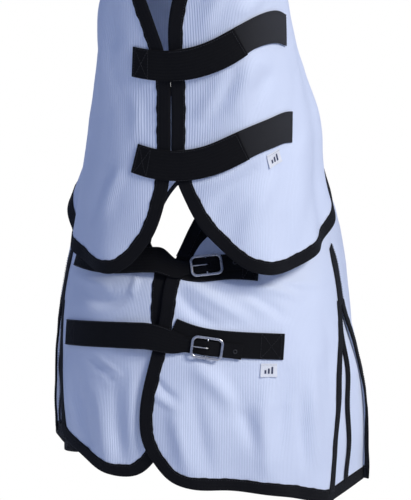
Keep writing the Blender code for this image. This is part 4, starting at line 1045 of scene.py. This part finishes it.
WEB_COLUMNS = (-1, -0.94, -0.5, 0, 0.5, 0.94, 1)


def web(chart, line, at, half, heights, count):
    """The dense grid of a strap laid on the form, and its normals."""
    keys = strap_rows(chart, line, at, half, heights)
    points, outs = (finer(grid, count, WEB_COLUMNS) for grid in keys)
    return points, unit(outs)


def box_stitch(points, outs, first, last):
    """A stitched box with a cross between two rows of a strap's grid."""
    top = points + outs * (WEBBING + THREAD)
    left, right = 1, points.shape[1] - 2
    stitch_columns(top, outs, (left, right), slice(first, last + 1))
    for row in (first, last):
        stitch(top[row, left:right + 1], outs[row, left:right + 1])
    rows = np.arange(first, last + 1)
    for a, b in ((left, right), (right, left)):
        column = np.linspace(a, b, len(rows))
        low = np.floor(column).astype(int)
        part = (column - low)[:, None]
        stitch(top[rows, low] * (1 - part) + top[rows, low + 1] * part, outs[rows, low])


def buckle_frame(centre):
    """The place and axes of a buckle: along the strap, across it and out."""
    reach = np.array((0.032, 0.013))
    st = np.array(centre) + reach * np.array([[-1], [0], [1]])
    ends = body.at(st) + body.normals(st) * (body_lift(st)[0] + TAPE_TOP)[:, None]
    run = unit(ends[2] - ends[0])
    out = body.normals(st[1])
    out = unit(out - run * np.dot(out, run))
    return ends[1], run, np.cross(out, run), out


def placed(place, u, v, w):
    base, run, across, out = place
    return base + run * u + across * v + out * w


def tape_height(centre, place, u):
    base, run, _, out = place
    st = body.offset(np.array(centre), run * u)
    face = body.at(st) + body.normals(st) * (body_lift(st)[0] + TAPE_TOP)
    return np.dot(face - base, out)


def chest_strap(word, line, centre):
    """Strap sewn on the right panel; its narrow billet passes under, over and under the
    buckle's bars, with a slot for the prong and a spare eyelet."""
    half, narrow = CHEST_STRAP_WIDTH / 2, BILLET_WIDTH / 2
    at = np.linspace(0, 1, 15)
    low = OVER_BINDING - 0.0006
    heights = low + (LAP_LIFT + TAPE_TOP + LAYER_GAP - low) * smooth((at - 0.62) / 0.38)
    keys = list(strap_rows(body, line, at, half, heights)[0])
    place = buckle_frame(centre)
    lying = LAYER_GAP + 0.0002
    hump = [(-0.031, 0.0002), (-0.025, 0.0005), (-0.016, 0.0034), (-0.008, 0.0068),
            (0.000, 0.0082), (0.006, 0.0079), (0.014, 0.0052), (0.020, 0.0028),
            (0.025, 0.0010), (0.031, 0.0004)]
    hump = [(u, tape_height(centre, place, u) + lying) for u in (-0.050, -0.040)] + hump
    hump += [(u, tape_height(centre, place, u) + lying) for u in (0.042, 0.055, 0.068)]
    for u, w in hump:
        reach = narrow + (half - narrow) * (1 - smooth((u + 0.072) / 0.034))
        keys.append([placed(place, u, v * reach, w) for v in (-1, -0.5, 0, 0.5, 1)])
    points = finer(keys, 150, (-1, -0.93, -0.5, -0.135, 0.135, 0.5, 0.93, 1))
    across = unit(points[:, -1] - points[:, 0])[:, None]
    outs = unit(np.cross(unit(np.gradient(points, axis=0)), across))
    if np.dot(outs[60, 3], body.normals(np.array(line[1]))) < 0:
        outs = -outs
    along = (points[:, 3] - place[0]) @ place[1]
    slot = {(i, 3) for i in range(149) if -0.0145 < along[i] < 0.0035}
    eyelet = sorted((i, 3) for i in range(149) if 0.0505 < along[i] < 0.0545)
    strip(f"strap_chest_{word}", points, outs, WEBBING, "strap_webbing",
          f"{word}_chest_strap", holes=slot.union(eyelet))
    top = points + outs * (WEBBING + 0.0002)
    last = int(np.argmax(along > -0.055))
    stitch_columns(top, outs, (1, 6), slice(last - 6))
    box_stitch(points, outs, 3, 16)
    row = eyelet[len(eyelet) // 2][0]
    ring_at = ((top[row, 3] + top[row, 4]) / 2, place[1], place[2], outs[row, 3])
    torus(f"eyelet_{word}", ring_at, 0.0032, 0.0011, 0.0006, "black_plastic")


def torus(name, place, radius, width, height, look, count=28, corners=10):
    """A flat ring round a place's outward axis."""
    sections = []
    for a in (2 * pi * i / count for i in range(count)):
        ring = []
        for b in (2 * pi * k / corners for k in range(corners)):
            reach = radius + width * cos(b)
            ring.append(placed(place, cos(a) * reach, sin(a) * reach, height * sin(b)))
        sections.append(ring)
    tube(name, sections, look, closed=True)


def chest_tape(word, line):
    """The wide tape sewn on the left panel under the buckle."""
    at = np.linspace(0, 1, 15)
    heights = body_lift(spline(line, at))[0] + OVER_BINDING - 0.0003
    points, outs = web(body, line, at, CHEST_STRAP_WIDTH / 2, heights, 60)
    strip(f"tape_chest_{word}", points, outs, WEBBING, "strap_webbing", f"{word}_chest_tape")
    box_stitch(points, outs, 46, 57)
    stitch_columns(points + outs * (WEBBING + 0.0002), outs, (1, 5), slice(46))


def rounded_rectangle(length, width, radius, steps=8):
    found = []
    for corner in range(4):
        middle = corner * pi / 2 + pi / 4
        cx = np.sign(cos(middle)) * (length / 2 - radius)
        cy = np.sign(sin(middle)) * (width / 2 - radius)
        for k in range(steps + 1):
            a = middle - pi / 4 + k * pi / 2 / steps
            found.append(((cx + radius * cos(a), cy + radius * sin(a)), (cos(a), sin(a))))
    return found


def metal_ring(name, place, length, width, radius, bar, height, look, node, depth=None,
               body_name="root", corners=14, power=1.0, bow=0.0):
    """Closed frame of bar stock: round, or flatter with power under 1; bow arches the long
    sides outwards."""
    def squared(part):
        return np.sign(part) * abs(part) ** power / 2

    sections = []
    for (u, v), (du, dv) in rounded_rectangle(length - bar, width - bar, radius):
        ring = []
        arch = bow * (1 - (2 * u / length) ** 2)
        for a in (2 * pi * (k + 0.5) / corners for k in range(corners)):
            reach = squared(cos(a)) * bar
            ring.append(placed(place, u + du * reach, v + np.sign(v) * arch + dv * reach,
                               height + squared(sin(a)) * (depth or bar)))
        sections.append(ring)
    tube(name, sections, look, node, body_name, closed=True)


def rod(name, place, path, radii, node="", body_name="root", corners=12, count=48):
    """Round steel rod along (u, v, w) points of a place, smoothed; radii follow it."""
    line = spline([placed(place, *p) for p in path], np.linspace(0, 1, count))
    radii = np.interp(np.linspace(0, 1, count), np.linspace(0, 1, len(radii)), radii)
    way = unit(np.gradient(line, axis=0))
    side = unit(np.cross(place[2], way))
    up = unit(np.cross(way, side))
    sections = [[p + (s * cos(a) + q * sin(a)) * r
                 for a in (2 * pi * (k + 0.5) / corners for k in range(corners))]
                for p, s, q, r in zip(line, side, up, radii)]
    tube(name, sections, "plated_steel", node, body_name)


def loop_band(name, place, path, width, thickness, node, open_rows=(), count=64):
    """Folded webbing along a (u, w) path, with a slot in its middle at the open rows."""
    path = spline([(u, w, 0) for u, w in path], np.linspace(0, 1, count))[:, :2]
    run = unit(np.gradient(path, axis=0))
    side = np.stack([-run[:, 1], run[:, 0]], axis=1)
    reach = width / 2
    columns = np.array((-1, -0.9, -SLOT_HALF / reach, SLOT_HALF / reach, 0.9, 1)) * reach
    points, outs = [], []
    for (u, w), (nu, nw) in zip(path, side):
        points.append([placed(place, u - nu * thickness / 2, v, w - nw * thickness / 2)
                       for v in columns])
        outs.append([place[1] * nu + place[3] * nw] * len(columns))
    strip(name, points, np.array(outs), thickness, "strap_webbing", node,
          holes={(i, 2) for i in open_rows}, rounding=0.0003)


def folded_path(top_leg, low_leg, radius, height, steps=7):
    bend = [(radius * cos(a), height + radius * sin(a))
            for a in np.linspace(pi / 2, 3 * pi / 2, steps + 1)]
    return [*top_leg, *bend, *low_leg]


def buckle(word, centre):
    """Frame with its centre bar, the prong that turns on the bar, and the chape."""
    place = buckle_frame(centre)
    metal_ring(f"buckle_frame_{word}", place, BUCKLE_LENGTH, BUCKLE_WIDTH, CORNER_RADIUS,
               0.0052, FRAME_HEIGHT, "plated_steel", f"buckle_{word}", depth=0.0036,
               power=0.85, bow=0.0008)
    reach = BUCKLE_WIDTH / 2 - BUCKLE_BAR / 2
    rod(f"buckle_bar_{word}", (place[0], place[2], -place[1], place[3]),
        [(u, 0, BAR_HEIGHT) for u in (-reach, 0, reach)], [BUCKLE_PIVOT / 2] * 2, count=6)
    eye = BUCKLE_PIVOT / 2 + PRONG_CLEARANCE + PRONG_THICKNESS / 2
    rest = FRAME_HEIGHT + BUCKLE_BAR / 2 + 0.0004 + PRONG_THICKNESS / 2
    path = [(eye * cos(a), 0, BAR_HEIGHT + eye * sin(a))
            for a in np.radians(np.linspace(-160, 90, 9))]
    tip = -(BUCKLE_LENGTH - BUCKLE_BAR) / 2
    path += [(tip * 0.35, 0, rest + 0.0003), (tip * 0.75, 0, rest + 0.0001),
             (tip - 0.0012, 0, rest)]
    half = PRONG_THICKNESS / 2
    rod(f"buckle_prong_{word}", place, path, [half * 0.9, half, half, half * 1.15, half * 0.8],
        f"prong_{word}", f"prong_{word}")
    top, low = BAR_HEIGHT + CHAPE_RADIUS, BAR_HEIGHT - CHAPE_RADIUS
    path = folded_path([(0.016, 0.0031), (0.011, 0.0046), (0.006, top - 0.0008)],
                       [(0.006, low), (0.011, low - 0.0002), (0.016, low - 0.0004)],
                       CHAPE_RADIUS, BAR_HEIGHT)
    loop_band(f"buckle_chape_{word}", place, path, BILLET_WIDTH - 0.002, TAPE,
              f"chape_{word}", range(14, 50))


def label(name, cloth, centre, tilt, node):
    """A woven label sewn on along its top edge, with a plain mark of three bars."""
    chart = cloth.chart
    st = np.array(centre)
    out = chart.normals(st)
    run = chart.at(st + (0.01, 0)) - chart.at(st)
    run = unit(run - out * np.dot(run, out))
    a = radians(tilt)
    length, width = LABEL_SIZE
    u_axis = run * cos(a) + np.cross(out, run) * sin(a)
    v_axis = np.cross(out, u_axis)

    def face(us, vs, lift):
        u, v = np.array(us)[:, None], np.array(vs)[None]
        steps = u_axis * u[..., None] * length + v_axis * v[..., None] * width
        grid = chart.offset(np.broadcast_to(st, steps.shape[:2] + (2,)), steps)
        height = (lift + 0.0012 * (0.5 - v) ** 2 * 4 * abs(u))[..., None]
        return cloth.at(grid) + chart.normals(grid) * height, chart.normals(grid)

    points, outs = face(np.linspace(-0.5, 0.5, 15), np.linspace(-0.5, 0.5, 11), 0.0021)
    strip(name, points, outs, 0.0006, "woven_label", node, rounding=0.0002)
    stitch(points[:, -2] + outs[:, -2] * 0.0008, outs[:, -2], "root", 0.0030, 0.0022, 0.0004)
    for i, high in enumerate((0.02, 0.14, 0.26)):
        left = -0.26 + 0.20 * i
        points, outs = face(np.linspace(left, left + 0.10, 3), np.linspace(-0.24, high, 5), 0.0028)
        strip(f"{name}_bar_{i}", points, outs, 0.0002, "mark", rounding=0)


# ---------------------------------------------------------------- neck cover
def neck_side(side):
    word = "left" if side > 0 else "right"
    cloth = Cloth(neck, side, neck_height)
    grid = coons(curve(THROAT_EDGE[side]), curve(CREST_LINE), curve(POLL_EDGE[side]),
                 curve(LOBE_EDGE[side]), np.linspace(0, 1, 72), np.linspace(0, 1, 120))
    sheet = cloth_panel(f"cloth_neck_{word}", cloth, (grid,), f"neck_panel_{word}")
    line = rounded_line(dense(POLL_EDGE[side], 0.007)[::-1], dense(THROAT_EDGE[side], 0.007, 0.9),
                        dense(LOBE_EDGE[side], 0.006, 0.9))
    return *sheet, [edging(f"edging_neck_{word}", cloth, line[1:-1], (0.6, 0.0),
                           f"neck_binding_{word}")]


def crest_band():
    along = np.linspace(-0.004, 0.992, 130)
    rows, outs = [], []
    for reach in (-0.036, -0.026, -0.012, 0.0, 0.012, 0.026, 0.036):
        s = (0.56 - abs(reach)) * (-1 if reach < 0 else 1)
        st = np.stack([np.full_like(along, s), along], axis=1)
        rows.append(neck.at(st))
        outs.append(neck.normals(st))
    ridge_band("band_crest", "crest_tape", rows, outs, 0.004, 0.0040, ((1, 0), (5, 0)))


def neck_strap(word, line):
    """The strap sewn on the right panel with its peeling hook tab, and the loop strip on the
    left panel that the tab fastens to."""
    half = NECK_STRAP_WIDTH / 2
    fine = np.linspace(0, 1, 801)
    s_along = spline(line, fine)[:, 0]
    fold, end, start = (float(np.interp(s, s_along, fine))
                        for s in (NECK_FOLD_S, NECK_TAB_END_S, NECK_LOOP_START_S))
    at = np.concatenate([np.linspace(0, fold, 7)[:-1], np.linspace(fold, end, 15)])
    rise = smooth((at - fold) / (0.28 * (end - fold)))
    points, outs = web(neck, line, at, half, OVER_BINDING + (WEBBING + LAYER_GAP) * rise, 90)
    tab = strip(f"strap_neck_{word}", points, outs, WEBBING, "strap_webbing",
                f"neck_strap_{word} neck_tab_{word}", None)
    st = spline(line, [fold])[0]
    around = neck.at(spline(line, [fold - 0.01, fold + 0.01]))
    pivot = neck.at(st) + neck.normals(st) * (OVER_BINDING + WEBBING / 2)
    group = f"neck_tab_{word}"
    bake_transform(tab)
    top = points + outs * (WEBBING + THREAD)
    at_fold = int(np.argmin(np.linalg.norm(top[:, 3] - pivot, axis=1)))
    box_stitch(points, outs, 2, max(at_fold - 6, 8))
    stitch_columns(top, outs, (1, 5), slice(at_fold + 12, -2), group)
    stitch(top[-3, 1:6], outs[-3, 1:6], group)
    hook = (slice(at_fold + 14, -1), slice(1, 6))
    strip(f"hook_pile_{word}", points[hook] - outs[hook] * 0.0008, outs[hook], 0.0007, "pile",
          body_name=group, rounding=0)
    at = np.linspace(start, 1, 15)
    points, outs = web(neck, line, at, half, [OVER_BINDING - 0.0002] * len(at), 90)
    strip(f"strip_loop_{word}", points, outs, WEBBING * 0.8, "pile", f"neck_loop_strip_{word}")
    top = points + outs * (WEBBING * 0.8 + THREAD)
    stitch_columns(top, outs, (1, 5), slice(2, -2))
    for row in (2, 87):
        stitch(top[row, 1:6], outs[row, 1:6])


def withers_tie(side):
    """Tape loop that joins the neck cover's base to the body's neckline."""
    word = "left" if side > 0 else "right"
    low, high = np.array((0.560 * side, 0.12)), np.array((0.500 * side, 0.93))
    start = body.at(low) + body.normals(low) * (OVER_BINDING + 0.001)
    end = neck.at(high) - neck.normals(high) * (LAYER_GAP + WEBBING + 0.008)
    run = (end - start) * 0.8
    across = unit(np.cross(run, body.normals(low)))
    out = unit(np.cross(across, run))
    at = np.linspace(-0.12, 1.12, 24)[:, None, None]
    points = start + run * at + across * np.array(WEB_COLUMNS)[None, :, None] * 0.020
    points = points - out * 0.004 * np.sin(pi * np.clip(at, 0, 1))
    outs = np.broadcast_to(out, points.shape)
    strip(f"tie_withers_{word}", points, outs, WEBBING, "strap_webbing", f"withers_tie_{word}")
    box_stitch(points, outs, 1, 7)
    box_stitch(points, outs, 16, 22)


# ---------------------------------------------------------------- tail flap and surcingles
class Flap:
    """The tail flap as a cloth of its own: (s, t) is across -1 to 1 and down 0 to 1."""

    def __init__(self):
        self.seam = body.at((1.88, 0.0)) + np.array(TAIL_SEAM)

    def at(self, own):
        own = np.asarray(own, float)
        step, drop = own[..., 0], own[..., 1]
        half = TAIL_FLAP_WIDTH / 2 * (0.80 + 0.20 * drop)
        bow = 0.40
        a = step * half / bow
        wave = 0.006 * np.sin(step * 4.4 + 0.6) * smooth(drop / 0.9)
        depth = bow * (np.cos(a) - 1) * (1 - 0.2 * drop) + FABRIC / 2 + wave
        place = np.stack([bow * np.sin(a), depth, -drop * TAIL_FLAP_LENGTH], axis=-1)
        return self.seam + place

    def normals(self, own):
        normal = unit(np.cross(*slopes(self.at, own, 0.002)))
        return normal * np.sign(normal[..., 1:2])

    def offset(self, own, step):
        return moved(self.at, own, step, 1e-3)


def tail_flap():
    flap = Flap()

    def rounded(us):
        """How far down the flap reaches, with its lower corners rounded."""
        return 1 - 0.035 * np.clip((np.abs(us) - 0.90) / 0.10, 0, 1) ** 2

    us, vs = np.linspace(-1, 1, 41), np.linspace(0, 1, 49)
    grid = np.stack(np.meshgrid(us, vs, indexing="ij"), axis=-1)
    grid[..., 1] *= rounded(us)[:, None]
    points, outs = flap.at(grid), flap.normals(grid)
    panel = strip("cloth_tail_flap", points - outs * CLOTH / 2, outs, CLOTH, "mesh_fabric",
                  "tail_flap", "tail_flap", rounding=0, uvs=grid_measure(points)[..., ::-1])
    left = np.stack([np.full(44, -1.0), np.linspace(0.02, 1, 44) * 0.965], axis=1)
    over = np.linspace(-1, 1, 36)[1:-1]
    low = np.stack([over, rounded(over)], axis=1)
    rim = rounded_line(left, low, left[::-1] * (-1, 1))
    edge = edging("edging_tail_flap", flap, rim, (-rim * (1, 0.6) + (0, 0.3)) * 2,
                  "tail_flap_binding", 0.020, "tail_flap", (1, 0.96, 0.5), lined=False)
    top = flap.at(np.stack([np.linspace(-0.98, 0.98, 31), np.zeros(31)], axis=1))
    dock = body.at(np.stack([np.full(31, 1.876), np.zeros(31)], axis=1))
    above = top + (0, -0.010, 0.006) + (dock - top) * (0, 0.15, 0.15)
    keys = np.stack([above, top + (0, 0.0030, 0.0030), top + (0, 0.0016, -0.022)], axis=1)
    over = spline_weights((0, 0.45, 1), np.linspace(0, 1, 9))
    band = np.einsum("aj,ijc->iac", over, keys)
    outs = np.broadcast_to(np.array([0, 0.9, 0.3]), band.shape)
    seam_tape = strip("tape_tail_seam", band, outs, TAPE, "binding_tape", body_name=None)
    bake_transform(seam_tape)
    return panel, [edge]


def surcingle(word, where):
    """Belly strap: sewn inside the right panel, hooked to a slot plate inside the left one."""
    s, t = where
    low = body.at((s, t))
    down = unit(low - body.at((s, t - 0.15)))
    out = body.normals(np.array((s, t)))
    inward = unit(-(out - down * np.dot(out, down)))
    radius = STEEL_BAR / 2 + 0.0010 + WEBBING / 2
    place = (low + inward * 0.004, -down, np.cross(inward, -down), inward)
    path = folded_path([(0.060, radius * 2), (0.020, radius * 2)],
                       [(0.020, 0.0), (0.060, 0.0)], radius, radius)
    loop_band(f"loop_anchor_{word}", place, path, SURCINGLE_WIDTH - 0.004, WEBBING,
              f"surcingle_anchor_{word}")
    length, width = PLATE_SIZE
    plate = (placed(place, (STEEL_BAR - length) / 2, 0, 0), *place[1:])
    hook = (placed(plate, -HOOK_DROP, 0, 0), *place[1:])
    metal_ring(f"plate_slot_{word}", plate, length, width, 0.005, STEEL_BAR, radius,
               "plated_steel", f"slot_plate_{word}")
    metal_ring(f"hook_frame_{word}", hook, HOOK_LENGTH, width, 0.005, STEEL_BAR, radius,
               "plated_steel", f"surcingle_hook_{word}")
    rim = (HOOK_LENGTH - STEEL_BAR) / 2
    lower_bar = HOOK_DROP - (length - STEEL_BAR) / 2
    reach = STEEL_BAR + 0.0008
    bend = [(lower_bar + reach * cos(a), 0, radius + reach * sin(a))
            for a in np.radians(np.linspace(170, -60, 7))]
    stem = [(rim, 0, radius), (rim + 0.002, 0, radius + 0.0005), *bend]
    rod(f"hook_stem_{word}", hook, stem, np.array((0.47, 0.5, 0.36)) * STEEL_BAR)

    def sewn(t, depth):
        return body.at((-s, t)) - body.normals(np.array((-s, t))) * (LAYER_GAP + WEBBING + depth)

    start = placed(hook, -rim, 0, radius)
    far, far_top = sewn(t, 0.004), sewn(t - 0.12, 0.002)
    run = unit(np.array((-0.13, 0, -0.060)))
    upward = np.cross(place[2], run)
    upward = upward * np.sign(upward[2])
    fold = [start + upward * radius + run * d for d in (0.045, 0.012)]
    fold += [start + upward * radius * cos(a) - run * radius * sin(a)
             for a in np.linspace(0, pi, 9)]
    belly = [start - upward * radius + run * d for d in (0.012, 0.06, 0.105, 0.150)]
    sag = np.array((0, 0, -0.045))
    middle = (belly[-1] + far) / 2 + sag
    near = (belly[-1] + middle) / 2 + sag * 0.35
    away = (middle + far) / 2 + sag * 0.45
    belly += list(spline([belly[-1], near, middle, away, far], np.linspace(0, 1, 26)[1:]))
    line = spline([*fold, *belly, (far + far_top) / 2, far_top], np.linspace(0, 1, 240))
    across = np.array((0.0, 1.0, 0.0))
    outs = unit(np.cross(unit(np.gradient(line, axis=0)), across))[:, None]
    shares = np.array(WEB_COLUMNS)[:, None] * SURCINGLE_WIDTH / 2 * 0.9
    points = line[:, None] + across * shares - outs * WEBBING / 2
    outs = np.repeat(outs, len(shares), axis=1)
    strip(f"strap_belly_{word}", points, outs, WEBBING, "strap_webbing", f"surcingle_{word}")
    box_stitch(points, outs, 218, 236)
    slide = (start - upward * radius + run * SLIDER_AT, place[2], upward, run)
    metal_ring(f"slider_{word}", slide, SURCINGLE_WIDTH + 0.012, 0.0090, 0.0020, 0.0024, 0.0,
               "black_plastic", f"surcingle_slider_{word}", depth=0.018,
               body_name=f"surcingle_slider_{word}", power=0.35, corners=20)


def build_object():
    for side in (1, -1):
        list(body_side(side))
        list(neck_side(side))
        withers_tie(side)
    spine_band()
    crest_band()
    chest_strap("upper", UPPER_RIGHT, UPPER_BUCKLE)
    chest_strap("lower", LOWER_RIGHT, LOWER_BUCKLE)
    chest_tape("upper", UPPER_LEFT)
    chest_tape("lower", LOWER_LEFT)
    buckle("upper", UPPER_BUCKLE)
    buckle("lower", LOWER_BUCKLE)
    label("label_body", Cloth(body, 1, body_height), LABEL_BODY_AT, -2, "size_label_body")
    label("label_neck", Cloth(neck, 1, neck_height), LABEL_NECK_AT, 14, "size_label_neck")
    neck_strap("upper", NECK_UPPER)
    neck_strap("lower", NECK_LOWER)
    panel, pieces = tail_flap()
    for word, where in SURCINGLES.items():
        surcingle(word, where)
    add_stitches()


# ---------------------------------------------------------------- studio
def aim(made, place, way):
    """Puts a light or the camera at a place and turns it to look along a direction."""
    made.location = place
    made.rotation_mode = "QUATERNION"
    made.rotation_quaternion = Vector(way).to_track_quat("-Z", "Y")


def area_light(name, place, size, power, colour):
    light = bpy.data.lights.new(name, "AREA")
    light.shape = "DISK"
    light.size = size
    light.energy = power
    light.color = colour
    aim(linked(name, light), place, np.array((0.0, 0.1, -0.3)) - place)


def studio():
    scene = bpy.context.scene
    scene.view_settings.view_transform = "Standard"
    world = bpy.data.worlds.new("studio")
    world.use_nodes = True
    tree = world.node_tree
    soft = tree.nodes["Background"]
    soft.inputs["Color"].default_value = (0.46, 0.57, 0.95, 1)
    soft.inputs["Strength"].default_value = 0.405
    white = tree.nodes.new("ShaderNodeBackground")
    white.inputs["Color"].default_value = (1, 1, 1, 1)
    white.inputs["Strength"].default_value = 1.0
    seen = tree.nodes.new("ShaderNodeLightPath")
    mix = tree.nodes.new("ShaderNodeMixShader")
    tree.links.new(seen.outputs["Is Camera Ray"], mix.inputs["Fac"])
    tree.links.new(soft.outputs["Background"], mix.inputs[1])
    tree.links.new(white.outputs["Background"], mix.inputs[2])
    tree.links.new(mix.outputs["Shader"], tree.nodes["World Output"].inputs["Surface"])
    scene.world = world
    area_light("key", (2.7, -3.0, 1.7), 1.4, 131, (1.0, 0.97, 0.92))
    area_light("fill", (-2.2, -3.4, 0.8), 2.4, 6, (0.78, 0.86, 1.0))
    area_light("back", (-1.0, 4.2, 2.4), 2.4, 90, (0.92, 0.95, 1.0))

    mesh = bpy.data.meshes.new("floor")
    radius, corners = 2.8, 96
    turns = [2 * pi * k / corners for k in range(corners)]
    around = [(radius * cos(a), 0.1 + radius * sin(a), -1.6) for a in turns]
    mesh.from_pydata(around, [], [tuple(range(corners))])
    look = Look("pale_floor", (0.82, 0.83, 0.85), 0.7)
    look.shades(look.noise(look.place(), 0.4), 0.97, 1.0)
    mesh.materials.append(look.material)
    linked("floor", mesh)

    lens = bpy.data.cameras.new("camera")
    camera = linked("camera", lens)
    azimuth, elevation, distance = radians(3.5), radians(2.5), 2.9
    target = Vector((0.012, -0.35, -0.36))
    back = Vector((sin(azimuth) * cos(elevation), -cos(azimuth) * cos(elevation),
                   sin(elevation)))
    aim(camera, target + back * distance, -back)
    lens.sensor_width = 36
    lens.lens = 36 * distance
    lens.clip_start = 0.05
    scene.camera = camera


build_object()
studio()
